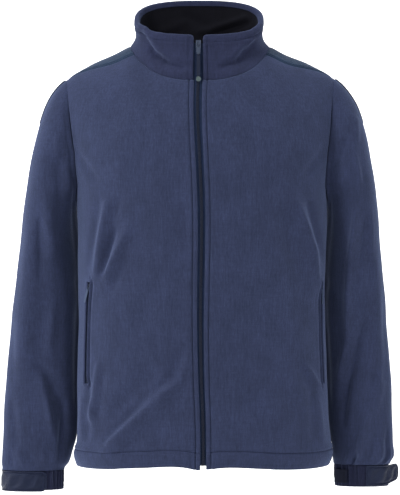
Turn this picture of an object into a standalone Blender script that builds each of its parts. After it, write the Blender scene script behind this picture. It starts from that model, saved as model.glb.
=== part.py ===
"""Fleece zip jacket, filled out as when it is worn, with nobody in it.

Metres, +Z up. The origin is the middle of the neck opening, level with the tops of the shoulders.
The front faces -Y, and the wearer's left is +X. "side" is +1 for the wearer's left, -1 for the right.

The body is one smooth surface, cut into panels as a maker would cut them. Below the chest line it is a
stack of rounded-square sections. Above it, arches run from the front over the shoulder ridge to the back.
A panel is a grid between its four edges on that surface, and each wall has its own thickness inwards.
"""
import math

import bmesh
import bpy
import numpy as np
from mathutils import Matrix, Vector

# ---- cloth -------------------------------------------------------------------------------------------
FLEECE = 0.0024                 # thickness of one layer of fleece
WOVEN = 0.0012                  # thickness of the smooth woven cloth
TAPE = 0.0010                   # thickness of a zip tape
SEAM_GAP = 0.0003               # pieces stand this far apart at their seams
HEM_TURN = 0.028                # depth of the turned hem
HEM_EXTRA = 0.0022              # the second layer of fleece in the hem

# ---- body --------------------------------------------------------------------------------------------
CHEST_Z = -0.24                 # arches above this level, level sections below it
MIDDLE_Y = 0.010                # plane of the side seams and of the shoulder ridge
ROUNDNESS = 2.3                 # exponent of the body's rounded-square section
RIDGE_HALF_WIDTH = 0.250        # half-width that the arches open to at the ridge
ARCH_RUN = 0.265                # length given to an arch from the chest line to the ridge
FRONT_RUN = 0.270               # length of a section from the centre front to the side
UNDERARM_Z = -0.27
HEM_Z = -0.7105

# columns: height, half-width on the wearer's right, half-width on the left, depth in front, depth behind
BODY_SECTIONS = np.array([
    (-0.240, 0.2110, 0.2160, 0.145, 0.118),
    (-0.286, 0.2090, 0.2160, 0.144, 0.114),
    (-0.350, 0.2074, 0.2142, 0.142, 0.110),
    (-0.432, 0.2067, 0.2120, 0.139, 0.108),
    (-0.553, 0.2090, 0.2166, 0.138, 0.108),
    (-0.640, 0.2090, 0.2200, 0.137, 0.110),
    (-0.676, 0.2098, 0.2238, 0.137, 0.111),
    (-0.698, 0.2144, 0.2260, 0.136, 0.112),
    (-0.712, 0.2100, 0.2200, 0.134, 0.110)])

# columns: distance from the middle, height of the shoulder ridge there on the right and on the left
RIDGE = np.array([
    (0.0, 0.0220, 0.0220), (0.050, 0.0170, 0.0170), (0.090, 0.0070, 0.0070),
    (0.115, 0.0003, 0.0003), (0.147, -0.0160, -0.0160), (0.187, -0.0350, -0.0338),
    (0.2235, -0.0562, -0.0540), (0.245, -0.0760, -0.0730)])

NECK_HALF_WIDTH = 0.1195
NECK_FRONT_DROP = math.radians(48)      # how far down the front arch the neckline reaches
NECK_BACK_DROP = math.radians(19)
NECK_ROUNDNESS = 2.5
NECK_FRONT_Z = -0.066

# columns: angle round the armhole from its top, depth share on the front edge, and on the back edge
ARMHOLE = np.array([(0, 0.515, 0.515), (45, 0.475, 0.520), (90, 0.390, 0.510), (135, 0.270, 0.360),
                    (160, 0.140, 0.190), (180, 0.0, 0.0)])

# columns: distance from the middle, arch angle from the ridge in degrees, along each shoulder seam
FRONT_SHOULDER_SEAM = np.array([(0.147, 23.6), (0.170, 20.8), (0.193, 15.0)])
BACK_SHOULDER_SEAM = np.array([(0.120, 17.5), (0.150, 20.5), (0.190, 24.0)])
FRONT_SEAM_NECK = math.radians(24)      # arch angle where the front shoulder seam meets the neckline
BACK_SEAM_NECK = math.radians(14.2)
FRONT_SEAM_ARMHOLE = math.radians(8)    # armhole angle where it ends
BACK_SEAM_ARMHOLE = math.radians(35)

# columns: height of the hem along the front and back, by distance to the wearer's left of the middle
HEM_LINE = np.array([(-0.215, -0.7138), (-0.175, -0.7134), (-0.100, -0.7090), (-0.022, -0.7080),
                     (-0.004, -0.7110), (0.010, -0.7100), (0.045, -0.7078), (0.125, -0.7122),
                     (0.185, -0.7136), (0.226, -0.7124)])

# ---- zips --------------------------------------------------------------------------------------------
# columns: height, place of the zip's middle to the left of the body's middle
ZIP_LINE = np.array([(-0.720, 0.0052), (-0.640, 0.0050), (-0.560, 0.0022), (-0.470, 0.0008),
                     (-0.400, 0.0014), (-0.340, 0.0025), (-0.270, 0.0023), (-0.200, -0.0006),
                     (-0.110, -0.0040), (-0.060, -0.0029), (0.020, -0.0029)])
# columns: height, gap between the front edges
ZIP_GAPS = np.array([(-0.720, 0.0098), (-0.600, 0.0102), (-0.420, 0.0122), (-0.200, 0.0134), (0.020, 0.0148)])
COLLAR_ZIP_GAP = 0.0166
ZIP_TAPE_WIDTH = 0.0145
COIL_WIDTH = 0.0028             # of one side's coil
COIL_HEIGHT = 0.0018
ZIP_BOTTOM_Z = -0.7040
POCKET_TOP_Z = -0.402
POCKET_BOTTOM_Z = -0.572
POCKET_SLIT = 0.0076
TAPE_BEHIND = 0.0011            # a zip tape lies this far behind the fleece
POCKET_TAPE_BEHIND = 0.0009      # a pocket's tape lies this far behind the front's inner side
POCKET_COIL_HEIGHT = 0.0022
POCKET_PAST = 0.20              # rows of the front that the pocket's tape runs past the slit's ends
COIL_STARTS = 0.10              # rows from the slit's end to the coil at full height
# columns: height, place of the slit between the centre front and the side seam
POCKET_LINE = {
    -1: np.array([(-0.572, 0.763), (-0.505, 0.764), (-0.436, 0.757), (-0.418, 0.744), (-0.402, 0.731)]),
    1: np.array([(-0.572, 0.829), (-0.505, 0.828), (-0.402, 0.829)])}

# ---- collar ------------------------------------------------------------------------------------------
COLLAR_HALF_WIDTH = {-1: 0.1115, 1: 0.1085}      # of the rim's outer edge, right and left
COLLAR_MIDDLE_Y = -0.017
COLLAR_HALF_DEPTH = 0.075
COLLAR_SIDE_Z = 0.0622          # height of the rim above the middle of the neck
COLLAR_SLOPE = 0.473            # rise of the rim towards the back
COLLAR_ROLL = 0.0046            # outer radius of the rolled edge
COLLAR_LIP = 0.0060             # the roll comes down this far inside
COLLAR_CORNER = 0.0090          # radius of the front corners
COLLAR_LEAN = {-1: 1.00, 1: 1.50}       # how far the foot of the collar leans in from the shoulder
FACING_IN = 0.0042              # the facing lies this far inside the outer collar at the neckline

# ---- sleeves -----------------------------------------------------------------------------------------
CAP_END_Z = -0.33               # the sleeve head ends here, and level sections follow
SLEEVE_ROUNDNESS = 2.2
# columns: height, outer reach on the right, on the left, inner reach past the body's side on the right,
# on the left, middle depth, half-depth
SLEEVE_SECTIONS = np.array([
    (-0.330, 0.3066, 0.3074, -0.0030, -0.0030, 0.050, 0.086),
    (-0.380, 0.3128, 0.3120, -0.0042, -0.0042, 0.052, 0.079),
    (-0.430, 0.3184, 0.3176, -0.0042, -0.0042, 0.053, 0.072),
    (-0.500, 0.3258, 0.3222, -0.0042, -0.0042, 0.051, 0.063),
    (-0.570, 0.3318, 0.3265, -0.0032, -0.0032, 0.045, 0.054),
    (-0.640, 0.3362, 0.3290, -0.0005, -0.0005, 0.036, 0.047),
    (-0.678, 0.3380, 0.3300, 0.0050, 0.0010, 0.030, 0.043),
    (-0.700, 0.3388, 0.3312, 0.0070, 0.0010, 0.026, 0.040),
    (-0.712, 0.3390, 0.3250, 0.0152, 0.0070, 0.023, 0.037),
    (-0.722, 0.3370, 0.3230, 0.0235, 0.0080, 0.020, 0.034)])
SLEEVE_SHEAR = -0.12            # the front of each section is turned outwards
SLEEVE_END_Z = {-1: -0.7225, 1: -0.7125}
# columns: angle round the sleeve, direction in which it leaves the armhole: out, forward, down; its reach
CAP_LEAVES = np.array([
    (0, 0.848, 0.000, 0.530, 0.180), (45, 0.900, 0.200, 0.380, 0.150), (90, 0.930, 0.330, 0.150, 0.120),
    (135, 0.700, 0.050, 0.620, 0.080), (180, 0.300, -0.450, 0.840, 0.060),
    (225, 0.720, -0.420, 0.450, 0.090), (270, 0.930, -0.330, 0.150, 0.140),
    (315, 0.900, -0.220, 0.380, 0.160), (360, 0.848, 0.000, 0.530, 0.180)])
CAP_FULLNESS = {-1: 0.93, 1: 1.06}
# columns: angle round the sleeve, pull of the sleeve's own direction where the head ends
CAP_ENDS = np.array([(0, 0.520), (90, 0.170), (180, 0.050), (270, 0.170), (360, 0.520)])

# ---- cuffs -------------------------------------------------------------------------------------------
CUFF_HEIGHT = {-1: 0.0330, 1: 0.0370}
# columns per side: outer reach, inner reach, middle depth, half-depth
CUFF_RING = {-1: (0.3362, 0.2332, 0.020, 0.0310), 1: (0.3222, 0.2305, 0.020, 0.0310)}
CUFF_GATHERS = 34
GATHER_HEIGHT = 0.0022
GATHER_START = {-1: 124, 1: 92}         # degrees round the cuff where the gathers begin
GATHER_END = {-1: 318, 1: 352}
TAB_THICK = 0.0018
TAB_CLEARANCE = 0.0005          # between a tab and the cuff that it is sewn to
TAB_HEIGHT = 0.0345
TAB_END_X = 0.3400              # the left tab's free end stands off this far out

# ---- folds -------------------------------------------------------------------------------------------
# Each row: start x, start z, end x, end z, half-width, height (ridges above zero, troughs below)
FRONT_FOLDS = np.array([
    (-0.155, -0.672, -0.046, -0.572, 0.0130, 0.0062),
    (-0.172, -0.652, -0.085, -0.560, 0.0200, -0.0081),
    (-0.172, -0.590, -0.186, -0.622, 0.0090, 0.0041),
    (-0.154, -0.272, -0.172, -0.392, 0.0105, 0.0050),
    (-0.120, -0.312, -0.156, -0.392, 0.0100, 0.0046),
    (-0.144, -0.312, -0.163, -0.384, 0.0080, -0.0036),
    (0.160, -0.270, 0.188, -0.348, 0.0130, 0.0057),
    (0.188, -0.348, 0.192, -0.412, 0.0120, 0.0049),
    (0.140, -0.300, 0.166, -0.380, 0.0160, -0.0054),
    (0.060, -0.620, 0.120, -0.560, 0.0260, -0.0049),
    (-0.034, -0.670, -0.029, -0.705, 0.0060, -0.0014),
    (0.038, -0.672, 0.034, -0.705, 0.0060, -0.0014)])
BACK_FOLDS = np.array([
    (-0.150, -0.640, -0.040, -0.560, 0.0180, 0.0062),
    (0.145, -0.650, 0.060, -0.575, 0.0180, 0.0059),
    (-0.165, -0.300, -0.120, -0.420, 0.0180, -0.0068),
    (0.168, -0.295, 0.115, -0.430, 0.0180, -0.0068),
    (-0.060, -0.420, 0.050, -0.440, 0.0240, 0.0049),
    (0.020, -0.480, 0.130, -0.520, 0.0220, -0.0049)])
# Each row: start angle, start z, end angle, end z, half-width, height
SLEEVE_FOLDS = {
    -1: np.array([(88, -0.262, 104, -0.350, 0.0105, 0.0058), (126, -0.270, 138, -0.400, 0.0160, -0.0070),
                  (86, -0.315, 91, -0.395, 0.0110, -0.0036), (92, -0.425, 91, -0.535, 0.0150, -0.0052),
                  (96, -0.555, 122, -0.600, 0.0140, -0.0050), (128, -0.622, 138, -0.690, 0.0140, -0.0056),
                  (94, -0.575, 114, -0.660, 0.0090, 0.0040), (280, -0.300, 312, -0.390, 0.0150, -0.0063),
                  (300, -0.470, 262, -0.540, 0.0150, 0.0056), (250, -0.600, 285, -0.680, 0.0140, -0.0056)]),
    1: np.array([(77, -0.187, 94, -0.270, 0.0100, 0.0056), (98, -0.292, 106, -0.358, 0.0105, 0.0056),
                 (107, -0.378, 111, -0.480, 0.0110, 0.0056), (114, -0.500, 130, -0.565, 0.0110, 0.0042),
                 (128, -0.225, 137, -0.420, 0.0160, -0.0070), (72, -0.300, 76, -0.400, 0.0120, -0.0040),
                 (85, -0.492, 104, -0.548, 0.0150, -0.0056), (110, -0.566, 127, -0.602, 0.0140, -0.0060),
                 (60, -0.580, 88, -0.648, 0.0105, 0.0060), (94, -0.666, 106, -0.698, 0.0080, 0.0046),
                 (278, -0.310, 308, -0.400, 0.0150, -0.0063), (262, -0.500, 296, -0.560, 0.0150, 0.0056),
                 (292, -0.610, 255, -0.690, 0.0140, -0.0056)])}
# Each row: start x, start z, end x, end z, half-width, height
COLLAR_FOLDS = np.array([
    (-0.104, 0.008, -0.074, -0.028, 0.0060, -0.0034), (-0.074, -0.028, -0.026, -0.041, 0.0060, -0.0022),
    (0.090, -0.016, 0.060, -0.042, 0.0060, -0.0030), (-0.097, 0.000, -0.062, -0.020, 0.0060, 0.0018)])

# ---- finish of each kind of piece: colour, roughness, metallic ------------------------------------------
FINISHES = {
    "fleece": ((0.036, 0.045, 0.105), 0.95, 0.0),
    "fleece_inside": ((0.010, 0.011, 0.022), 0.95, 0.0),
    "woven_panel": ((0.052, 0.080, 0.130), 0.75, 0.0),
    "tab": ((0.024, 0.032, 0.062), 0.75, 0.0),
    "tape": ((0.014, 0.018, 0.034), 0.70, 0.0),
    "metal": ((0.180, 0.200, 0.230), 0.35, 1.0),
    "moulded": ((0.012, 0.015, 0.024), 0.45, 0.0),
    "tip": ((0.330, 0.370, 0.360), 0.50, 0.0)}


# ======================================================================================================
# Small tools
# ======================================================================================================
def clear_scene():
    """Start from an empty file."""
    for old in list(bpy.data.objects):
        bpy.data.objects.remove(old, do_unlink=True)


def material(finish):
    """The Principled material of one kind of finish, made once."""
    found = bpy.data.materials.get(finish)
    if found:
        return found
    colour, roughness, metallic = FINISHES[finish]
    made = bpy.data.materials.new(finish)
    made.use_nodes = True
    shader = made.node_tree.nodes["Principled BSDF"]
    shader.inputs["Base Color"].default_value = (*colour, 1.0)
    shader.inputs["Roughness"].default_value = roughness
    shader.inputs["Metallic"].default_value = metallic
    made.diffuse_color = (*colour, 1.0)
    return made


def smooth_table(x, table, column=1):
    """Value at x of a cubic curve through a short table's rows."""
    knots, values = table[:, 0], table[:, column]
    slopes = np.gradient(values, knots)
    x = np.clip(np.asarray(x, float), knots[0], knots[-1])
    row = np.clip(np.searchsorted(knots, x, side="right") - 1, 0, len(knots) - 2)
    width = knots[row + 1] - knots[row]
    t = (x - knots[row]) / width
    return ((2 * t**3 - 3 * t**2 + 1) * values[row] + (t**3 - 2 * t**2 + t) * width * slopes[row]
            + (3 * t**2 - 2 * t**3) * values[row + 1] + (t**3 - t**2) * width * slopes[row + 1])


def falling(table):
    """The same table with its first column rising, as smooth_table needs it."""
    return table[np.argsort(table[:, 0])]


def smoothstep(low, high, x):
    """0 below low, 1 above high, and an even rise between."""
    t = np.clip((np.asarray(x, float) - low) / (high - low), 0.0, 1.0)
    return t * t * (3 - 2 * t)


def signed_power(value, exponent):
    return np.sign(value) * np.abs(value) ** exponent


def unit(vectors):
    """Vectors along the last axis, at length 1."""
    length = np.linalg.norm(vectors, axis=-1, keepdims=True)
    return vectors / np.maximum(length, 1e-12)


def resample(path, shares, scale=(1.0, 1.0)):
    """Points at the given shares of a path's length."""
    steps = np.linalg.norm(np.diff(path, axis=0) * np.array(scale), axis=1)
    travelled = np.concatenate([[0.0], np.cumsum(steps)])
    travelled /= travelled[-1]
    return np.stack([np.interp(shares, travelled, path[:, axis]) for axis in range(path.shape[1])], axis=-1)


def fold_height(u, v, folds):
    """Sum of soft ridges and troughs, each along its own short line, fading at both ends."""
    height = np.zeros_like(u, float)
    for u0, v0, u1, v1, width, rise in folds:
        along_u, along_v = u1 - u0, v1 - v0
        length = math.hypot(along_u, along_v)
        share = ((u - u0) * along_u + (v - v0) * along_v) / length**2
        across = ((u - u0) * along_v - (v - v0) * along_u) / length
        past = np.maximum(np.maximum(-share, share - 1.0), 0.0) * length
        bell = np.exp(-(across / width) ** 2 - (past / (1.2 * width)) ** 2)
        swell = 0.70 + 0.30 * np.sin(math.pi * np.clip(share, 0.0, 1.0))
        height += rise * bell * swell
    return height


# ======================================================================================================
# The body's surface
# ======================================================================================================
SECTIONS = falling(BODY_SECTIONS)
ZIP_ROWS = falling(ZIP_LINE)
GIRTH_STEPS = 2001


def girth_table():
    """Rounded-square section by length: share of the way from the middle to the side, then p and q."""
    angle = np.linspace(0.0, math.pi / 2, GIRTH_STEPS)
    p = np.sin(angle) ** (2 / ROUNDNESS)
    q = np.cos(angle) ** (2 / ROUNDNESS)
    steps = np.hypot(np.diff(p) * 0.212, np.diff(q) * 0.132)
    travelled = np.concatenate([[0.0], np.cumsum(steps)])
    return travelled / travelled[-1], p, q


GIRTH_SHARE, GIRTH_P, GIRTH_Q = girth_table()


def girth_to_pq(girth):
    """Share 0 is the middle, 1 the side; a little past either end mirrors."""
    past_middle = np.sign(girth) + (girth == 0)
    share = np.abs(girth)
    past_side = np.where(share > 1.0, -1.0, 1.0)
    share = np.where(share > 1.0, 2.0 - share, share)
    p = past_middle * np.interp(share, GIRTH_SHARE, GIRTH_P)
    return p, past_side * np.interp(share, GIRTH_SHARE, GIRTH_Q)


def p_to_girth(p):
    return np.sign(p) * np.interp(np.abs(p), GIRTH_P, GIRTH_SHARE)


def depth_of(p):
    return np.maximum(1.0 - np.abs(np.clip(p, -1, 1)) ** ROUNDNESS, 0.0) ** (1 / ROUNDNESS)


def half_width(side, z):
    return smooth_table(z, SECTIONS, 1 if side < 0 else 2)


def depth(face, z):
    return smooth_table(z, SECTIONS, 3 if face == "front" else 4)


def ridge_z(side, x):
    return smooth_table(np.abs(x), RIDGE, 1 if side < 0 else 2)


def arch_half_width(side, rise):
    chest = half_width(side, CHEST_Z)
    return chest + (RIDGE_HALF_WIDTH - chest) * rise


def arch_point(side, p, q, tilt):
    """Point on the arches. tilt is the angle from the ridge, negative in front."""
    rise = np.cos(tilt)
    x = p * arch_half_width(side, rise)
    z = CHEST_Z + (ridge_z(side, x) - CHEST_Z) * rise
    reach = np.where(tilt < 0, depth("front", CHEST_Z), depth("back", CHEST_Z))
    return np.stack([side * x, MIDDLE_Y + reach * q * np.sin(tilt), z], axis=-1)


def body_point(side, face, girth, level):
    """Point on the bare body. level is the height over the chest line, and above it runs up the arch."""
    forward = -1.0 if face == "front" else 1.0
    p, q = girth_to_pq(girth)
    z = CHEST_Z + np.minimum(level, 0.0)
    low = np.stack([side * p * half_width(side, z), MIDDLE_Y + forward * q * depth(face, z), z], axis=-1)
    tilt = forward * (math.pi / 2) * (1.0 - np.maximum(level, 0.0) / ARCH_RUN)
    return np.where((level > 0)[..., None], arch_point(side, p, q, tilt), low)


def body_folds(points):
    """Height of the folds at points of the bare body."""
    x, y, z = points[..., 0], points[..., 1], points[..., 2]
    in_front = smoothstep(MIDDLE_Y + 0.012, MIDDLE_Y - 0.030, y)
    behind = smoothstep(MIDDLE_Y - 0.012, MIDDLE_Y + 0.030, y)
    return in_front * fold_height(x, z, FRONT_FOLDS) + behind * fold_height(x, z, BACK_FOLDS)


def chart_normals(chart, u, v, middle, step=2e-4):
    """Unit normals of chart(u, v), pointing away from the middle line given as x, y."""
    along_u = chart(u + step, v) - chart(u - step, v)
    along_v = chart(u, v + step) - chart(u, v - step)
    normals = unit(np.cross(along_u, along_v))
    points = chart(u, v)
    outward = points - middle(points)
    sign = np.sign(np.sum(normals * outward, axis=-1).mean())
    return normals * sign


def body_middle(points):
    """A line inside the body, level with each point or below it."""
    return np.stack([points[..., 0] * 0.5, np.full_like(points[..., 0], MIDDLE_Y),
                     np.minimum(points[..., 2], CHEST_Z)], axis=-1)


def folded(chart, folds, middle):
    """The chart with its folds raised along its own normals."""
    def raised(u, v):
        points = chart(u, v)
        return points + chart_normals(chart, u, v, middle) * folds(points)[..., None]
    return raised


def body_chart(side, face):
    """Surface of one quarter of the body, by girth share and level, folds included."""
    def bare(girth, level):
        return body_point(side, face, girth, level)
    return folded(bare, body_folds, body_middle)


def shoulder_chart(side):
    """Surface over a shoulder, by distance from the middle and arch angle from the ridge."""
    def bare(x, tilt):
        p = x / arch_half_width(side, np.cos(tilt))
        return arch_point(side, p, depth_of(p), tilt)
    return folded(bare, body_folds, body_middle)


def neck_ring(angle):
    """Neckline by distance from the middle and arch angle, from 0 at the front to pi at the back."""
    x = NECK_HALF_WIDTH * signed_power(np.sin(angle), 2 / NECK_ROUNDNESS)
    drop = np.abs(np.cos(angle)) ** (2 / NECK_ROUNDNESS)
    return x, np.where(np.cos(angle) > 0, -NECK_FRONT_DROP, NECK_BACK_DROP) * drop


def armhole_place(side, angle):
    """p and arch angle round the armhole, 0 at its top, positive down the front edge."""
    turn = np.degrees(np.abs(angle))
    q = np.where(angle >= 0, smooth_table(turn, ARMHOLE, 1), smooth_table(turn, ARMHOLE, 2))
    p = np.maximum(1.0 - np.maximum(q, 0.0) ** ROUNDNESS, 0.0) ** (1 / ROUNDNESS)
    top_z = ridge_z(side, RIDGE_HALF_WIDTH * (1.0 - ARMHOLE[0, 1] ** ROUNDNESS) ** (1 / ROUNDNESS))
    middle_z = (top_z + UNDERARM_Z) / 2
    z = middle_z + (top_z - middle_z) * np.cos(angle)
    rise = np.zeros_like(z)
    for _ in range(6):
        x = p * arch_half_width(side, rise)
        rise = np.clip((z - CHEST_Z) / (ridge_z(side, x) - CHEST_Z), 0.0, 1.0)
    return p, z, rise


def armhole_girth(side, angle):
    """Girth share and level round the armhole."""
    p, z, rise = armhole_place(side, angle)
    level = np.where(z > CHEST_Z, ARCH_RUN * (1 - np.arccos(rise) / (math.pi / 2)), z - CHEST_Z)
    return np.stack([p_to_girth(p), level], axis=-1)


def armhole_arch(side, angle):
    """Distance from the middle and arch angle round the armhole's top."""
    p, _, rise = armhole_place(side, angle)
    return np.stack([p * arch_half_width(side, rise), -np.sign(angle) * np.arccos(rise)], axis=-1)


def arch_to_girth(side, places):
    """Change distance and arch angle into girth share and level."""
    x, tilt = places[:, 0], places[:, 1]
    p = x / arch_half_width(side, np.cos(tilt))
    return np.stack([p_to_girth(p), ARCH_RUN * (1 - np.abs(tilt) / (math.pi / 2))], axis=-1)


def girth_to_arch(side, places, forward):
    """Change girth share and level into distance and arch angle."""
    tilt = forward * (math.pi / 2) * (1 - places[:, 1] / ARCH_RUN)
    return np.stack([girth_to_pq(places[:, 0])[0] * arch_half_width(side, np.cos(tilt)), tilt], axis=-1)


def neck_point(drop, face):
    """Neckline angle where the arch angle is drop."""
    limit = NECK_FRONT_DROP if face == "front" else NECK_BACK_DROP
    angle = math.acos((drop / limit) ** (NECK_ROUNDNESS / 2))
    return angle if face == "front" else math.pi - angle


def curve_through(points, count=60):
    """A smooth path through two-column points in order."""
    steps = np.linalg.norm(np.diff(points, axis=0) * np.array([1.0, 0.15]), axis=1)
    travelled = np.concatenate([[0.0], np.cumsum(steps)])
    at = np.linspace(0.0, travelled[-1], count)
    return np.stack([smooth_table(at, np.stack([travelled, points[:, axis]], axis=-1)) for axis in (0, 1)],
                    axis=-1)


def shoulder_seam(side, face):
    """The seam from the neckline to the armhole, by distance and arch angle."""
    table = FRONT_SHOULDER_SEAM if face == "front" else BACK_SHOULDER_SEAM
    neck_drop = FRONT_SEAM_NECK if face == "front" else BACK_SEAM_NECK
    end_angle = FRONT_SEAM_ARMHOLE if face == "front" else -BACK_SEAM_ARMHOLE
    forward = -1.0 if face == "front" else 1.0
    start_x, start_tilt = neck_ring(np.array(neck_point(neck_drop, face)))
    end = armhole_arch(side, np.array(end_angle))
    inner = np.stack([table[:, 0], forward * np.radians(table[:, 1])], axis=-1)
    return curve_through(np.vstack([[start_x, start_tilt], inner, end]))


# ======================================================================================================
# Walls and solids
# ======================================================================================================
def add_mesh(name, vertices, faces, finish, smooth_angle=50.0):
    """An object from its points and faces, shaded smooth, faces turned outwards."""
    mesh = bpy.data.meshes.new(name)
    mesh.from_pydata([tuple(point) for point in vertices], [], faces)
    mesh.materials.append(material(finish))
    work = bmesh.new()
    work.from_mesh(mesh)
    loose = [vert for vert in work.verts if not vert.link_faces]
    bmesh.ops.delete(work, geom=loose, context="VERTS")
    bmesh.ops.recalc_face_normals(work, faces=work.faces)
    work.to_mesh(mesh)
    work.free()
    mesh.shade_smooth()
    mesh.set_sharp_from_angle(angle=math.radians(smooth_angle))
    made = bpy.data.objects.new(name, mesh)
    bpy.context.scene.collection.objects.link(made)
    return made


def inset_edges(points, edges, distance=SEAM_GAP / 2):
    """Move the named edges of a grid towards the next row, to leave half a seam's gap."""
    moved = points.copy()
    for edge in edges:
        here, inward = {"first_row": ((0,), (1,)), "last_row": ((-1,), (-2,)),
                        "first_column": ((slice(None), 0), (slice(None), 1)),
                        "last_column": ((slice(None), -1), (slice(None), -2))}[edge]
        moved[here] = moved[here] + unit(points[inward] - points[here]) * distance
    return moved


def wall(name, outer, normals, thickness, finish, closed=False, holes=()):
    """A cloth wall: a grid of outer points, and inner points behind them along the normals."""
    rows, columns = outer.shape[:2]
    thickness = np.broadcast_to(np.asarray(thickness, float), (rows, columns))
    inner = outer - normals * thickness[..., None]
    vertices = np.concatenate([outer.reshape(-1, 3), inner.reshape(-1, 3)])
    count = rows * columns
    spans = columns if closed else columns - 1
    present = {(row, column) for row in range(rows - 1) for column in range(spans)} - set(holes)

    def at(row, column):
        return row * columns + column % columns

    faces = []
    for row, column in sorted(present):
        ring = [at(row, column), at(row, column + 1), at(row + 1, column + 1), at(row + 1, column)]
        faces.append(ring)
        faces.append([corner + count for corner in reversed(ring)])
        sides = {(row - 1, column): (ring[1], ring[0]), (row + 1, column): (ring[3], ring[2]),
                 (row, column - 1): (ring[0], ring[3]), (row, column + 1): (ring[2], ring[1])}
        for (next_row, next_column), (start, end) in sides.items():
            if closed:
                next_column %= columns
            if (next_row, next_column) not in present:
                faces.append([start, end, end + count, start + count])
    return add_mesh(name, vertices, faces, finish)


def grid_at(grid, rows, columns):
    """Points of a grid at fractional rows and columns, straight between its own points."""
    row = np.clip(np.floor(rows).astype(int), 0, grid.shape[0] - 2)
    column = np.clip(np.floor(columns).astype(int), 0, grid.shape[1] - 2)
    v = (rows - row)[..., None]
    u = (columns - column)[..., None]
    return ((1 - v) * ((1 - u) * grid[row, column] + u * grid[row, column + 1])
            + v * ((1 - u) * grid[row + 1, column] + u * grid[row + 1, column + 1]))


def coons(bottom, top, left, right, shares_u, shares_v):
    """Grid between four edges. Rows follow left and right, columns follow bottom and top."""
    u = shares_u[None, :, None]
    v = shares_v[:, None, None]
    ruled = (1 - v) * bottom[None] + v * top[None] + (1 - u) * left[:, None] + u * right[:, None]
    corners = ((1 - u) * (1 - v) * bottom[0] + u * (1 - v) * bottom[-1]
               + (1 - u) * v * top[0] + u * v * top[-1])
    return ruled - corners


def surface_grid(chart_of, places):
    """Points and normals of a grid of chart places. chart_of(side) gives the chart of each half."""
    u, v = places[..., 0], places[..., 1]
    points = np.zeros(u.shape + (3,))
    normals = np.zeros(u.shape + (3,))
    for side in (-1, 1):
        here = (u < 0) if side < 0 else (u >= 0)
        if here.any():
            chart = chart_of(side)
            points[here] = chart(np.abs(u[here]), v[here])
            normals[here] = chart_normals(chart, np.abs(u[here]), v[here], body_middle)
    return points, normals


# ======================================================================================================
# Fronts and back
# ======================================================================================================
FRONT_COLUMNS = 10              # from the centre front to the pocket slit
SIDE_COLUMNS = 3                # from the slit to the side seam
SLIT_COLUMN = FRONT_COLUMNS
BODY_ROWS = (2, 3, 5, 4)        # rows in the hem, up to the pocket, beside it, and up to the underarm
CHEST_ROWS = 9
SEAM_COLUMNS = 6                # columns that end on a shoulder seam
NECK_COLUMNS = FRONT_COLUMNS + 1 + SIDE_COLUMNS - SEAM_COLUMNS
SHOULDER_ROWS = 6               # rows of a shoulder panel from its front seam to its back seam
BACK_HALF = 10                  # columns of half the back
WIDE_SLIT = 0.020               # width of the slit's column where there is no slit
METRIC = (FRONT_RUN, 1.0)


def zip_x(z):
    return smooth_table(z, ZIP_ROWS)


def zip_gap(z):
    return smooth_table(z, ZIP_GAPS)


def armhole_stops():
    """Angles round the armhole that all pieces meeting there share: front, shoulder panel and back."""
    return (np.linspace(math.pi, FRONT_SEAM_ARMHOLE, CHEST_ROWS + 1),
            np.linspace(FRONT_SEAM_ARMHOLE, -BACK_SEAM_ARMHOLE, SHOULDER_ROWS + 1),
            np.linspace(-BACK_SEAM_ARMHOLE, -math.pi, CHEST_ROWS + 1))


def neck_stops(side, gap):
    """Angles round half the neckline that all pieces meeting there share, from the front edge."""
    start = math.asin(((gap / 2 + side * zip_x(NECK_FRONT_Z)) / NECK_HALF_WIDTH) ** (NECK_ROUNDNESS / 2))
    front_seam = neck_point(FRONT_SEAM_NECK, "front")
    back_seam = neck_point(BACK_SEAM_NECK, "back")
    return (np.linspace(start, front_seam, NECK_COLUMNS + 1),
            np.linspace(front_seam, back_seam, SHOULDER_ROWS + 1),
            np.linspace(back_seam, math.pi, BACK_HALF - SEAM_COLUMNS + 1))


def hem_level(x):
    return smooth_table(x, HEM_LINE) - CHEST_Z


def lower_levels():
    """Levels of the rows from the hem to the underarm."""
    stops = [HEM_Z, HEM_Z + HEM_TURN, POCKET_BOTTOM_Z, POCKET_TOP_Z, UNDERARM_Z]
    levels = [np.linspace(low, high, count, endpoint=False)
              for low, high, count in zip(stops, stops[1:], BODY_ROWS)]
    return np.concatenate(levels + [[UNDERARM_Z]]) - CHEST_Z


def column_shares(side, z):
    """Places of a front's columns at height z, from the centre front to the side seam."""
    middle = smooth_table(z, POCKET_LINE[side])
    away = max(z - POCKET_TOP_Z, POCKET_BOTTOM_Z - z, 0.0)
    half = 0.5 * (POCKET_SLIT + (WIDE_SLIT - POCKET_SLIT) * smoothstep(0.0, 0.06, away)) / FRONT_RUN
    inner = np.linspace(0.0, middle - half, FRONT_COLUMNS + 1)
    outer = np.linspace(middle + half, 1.0, SIDE_COLUMNS + 1)
    return np.concatenate([inner, outer])


def front_edge_girth(side, levels):
    """Girth share of a front edge beside the zip."""
    z = CHEST_Z + np.minimum(levels, 0.0)
    rise = np.sin(np.maximum(levels, 0.0) / ARCH_RUN * math.pi / 2)
    z = z + rise * (ridge_z(1, 0.0) - CHEST_Z)
    x = zip_gap(z) / 2 + side * zip_x(z)
    width = np.where(levels > 0, arch_half_width(side, rise), half_width(side, z))
    return p_to_girth(x / width)


def seam_shares(side):
    """Places along the front shoulder seam where the front's columns end."""
    last = column_shares(side, UNDERARM_Z)[NECK_COLUMNS:]
    return (last - last[0]) / (last[-1] - last[0])


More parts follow.
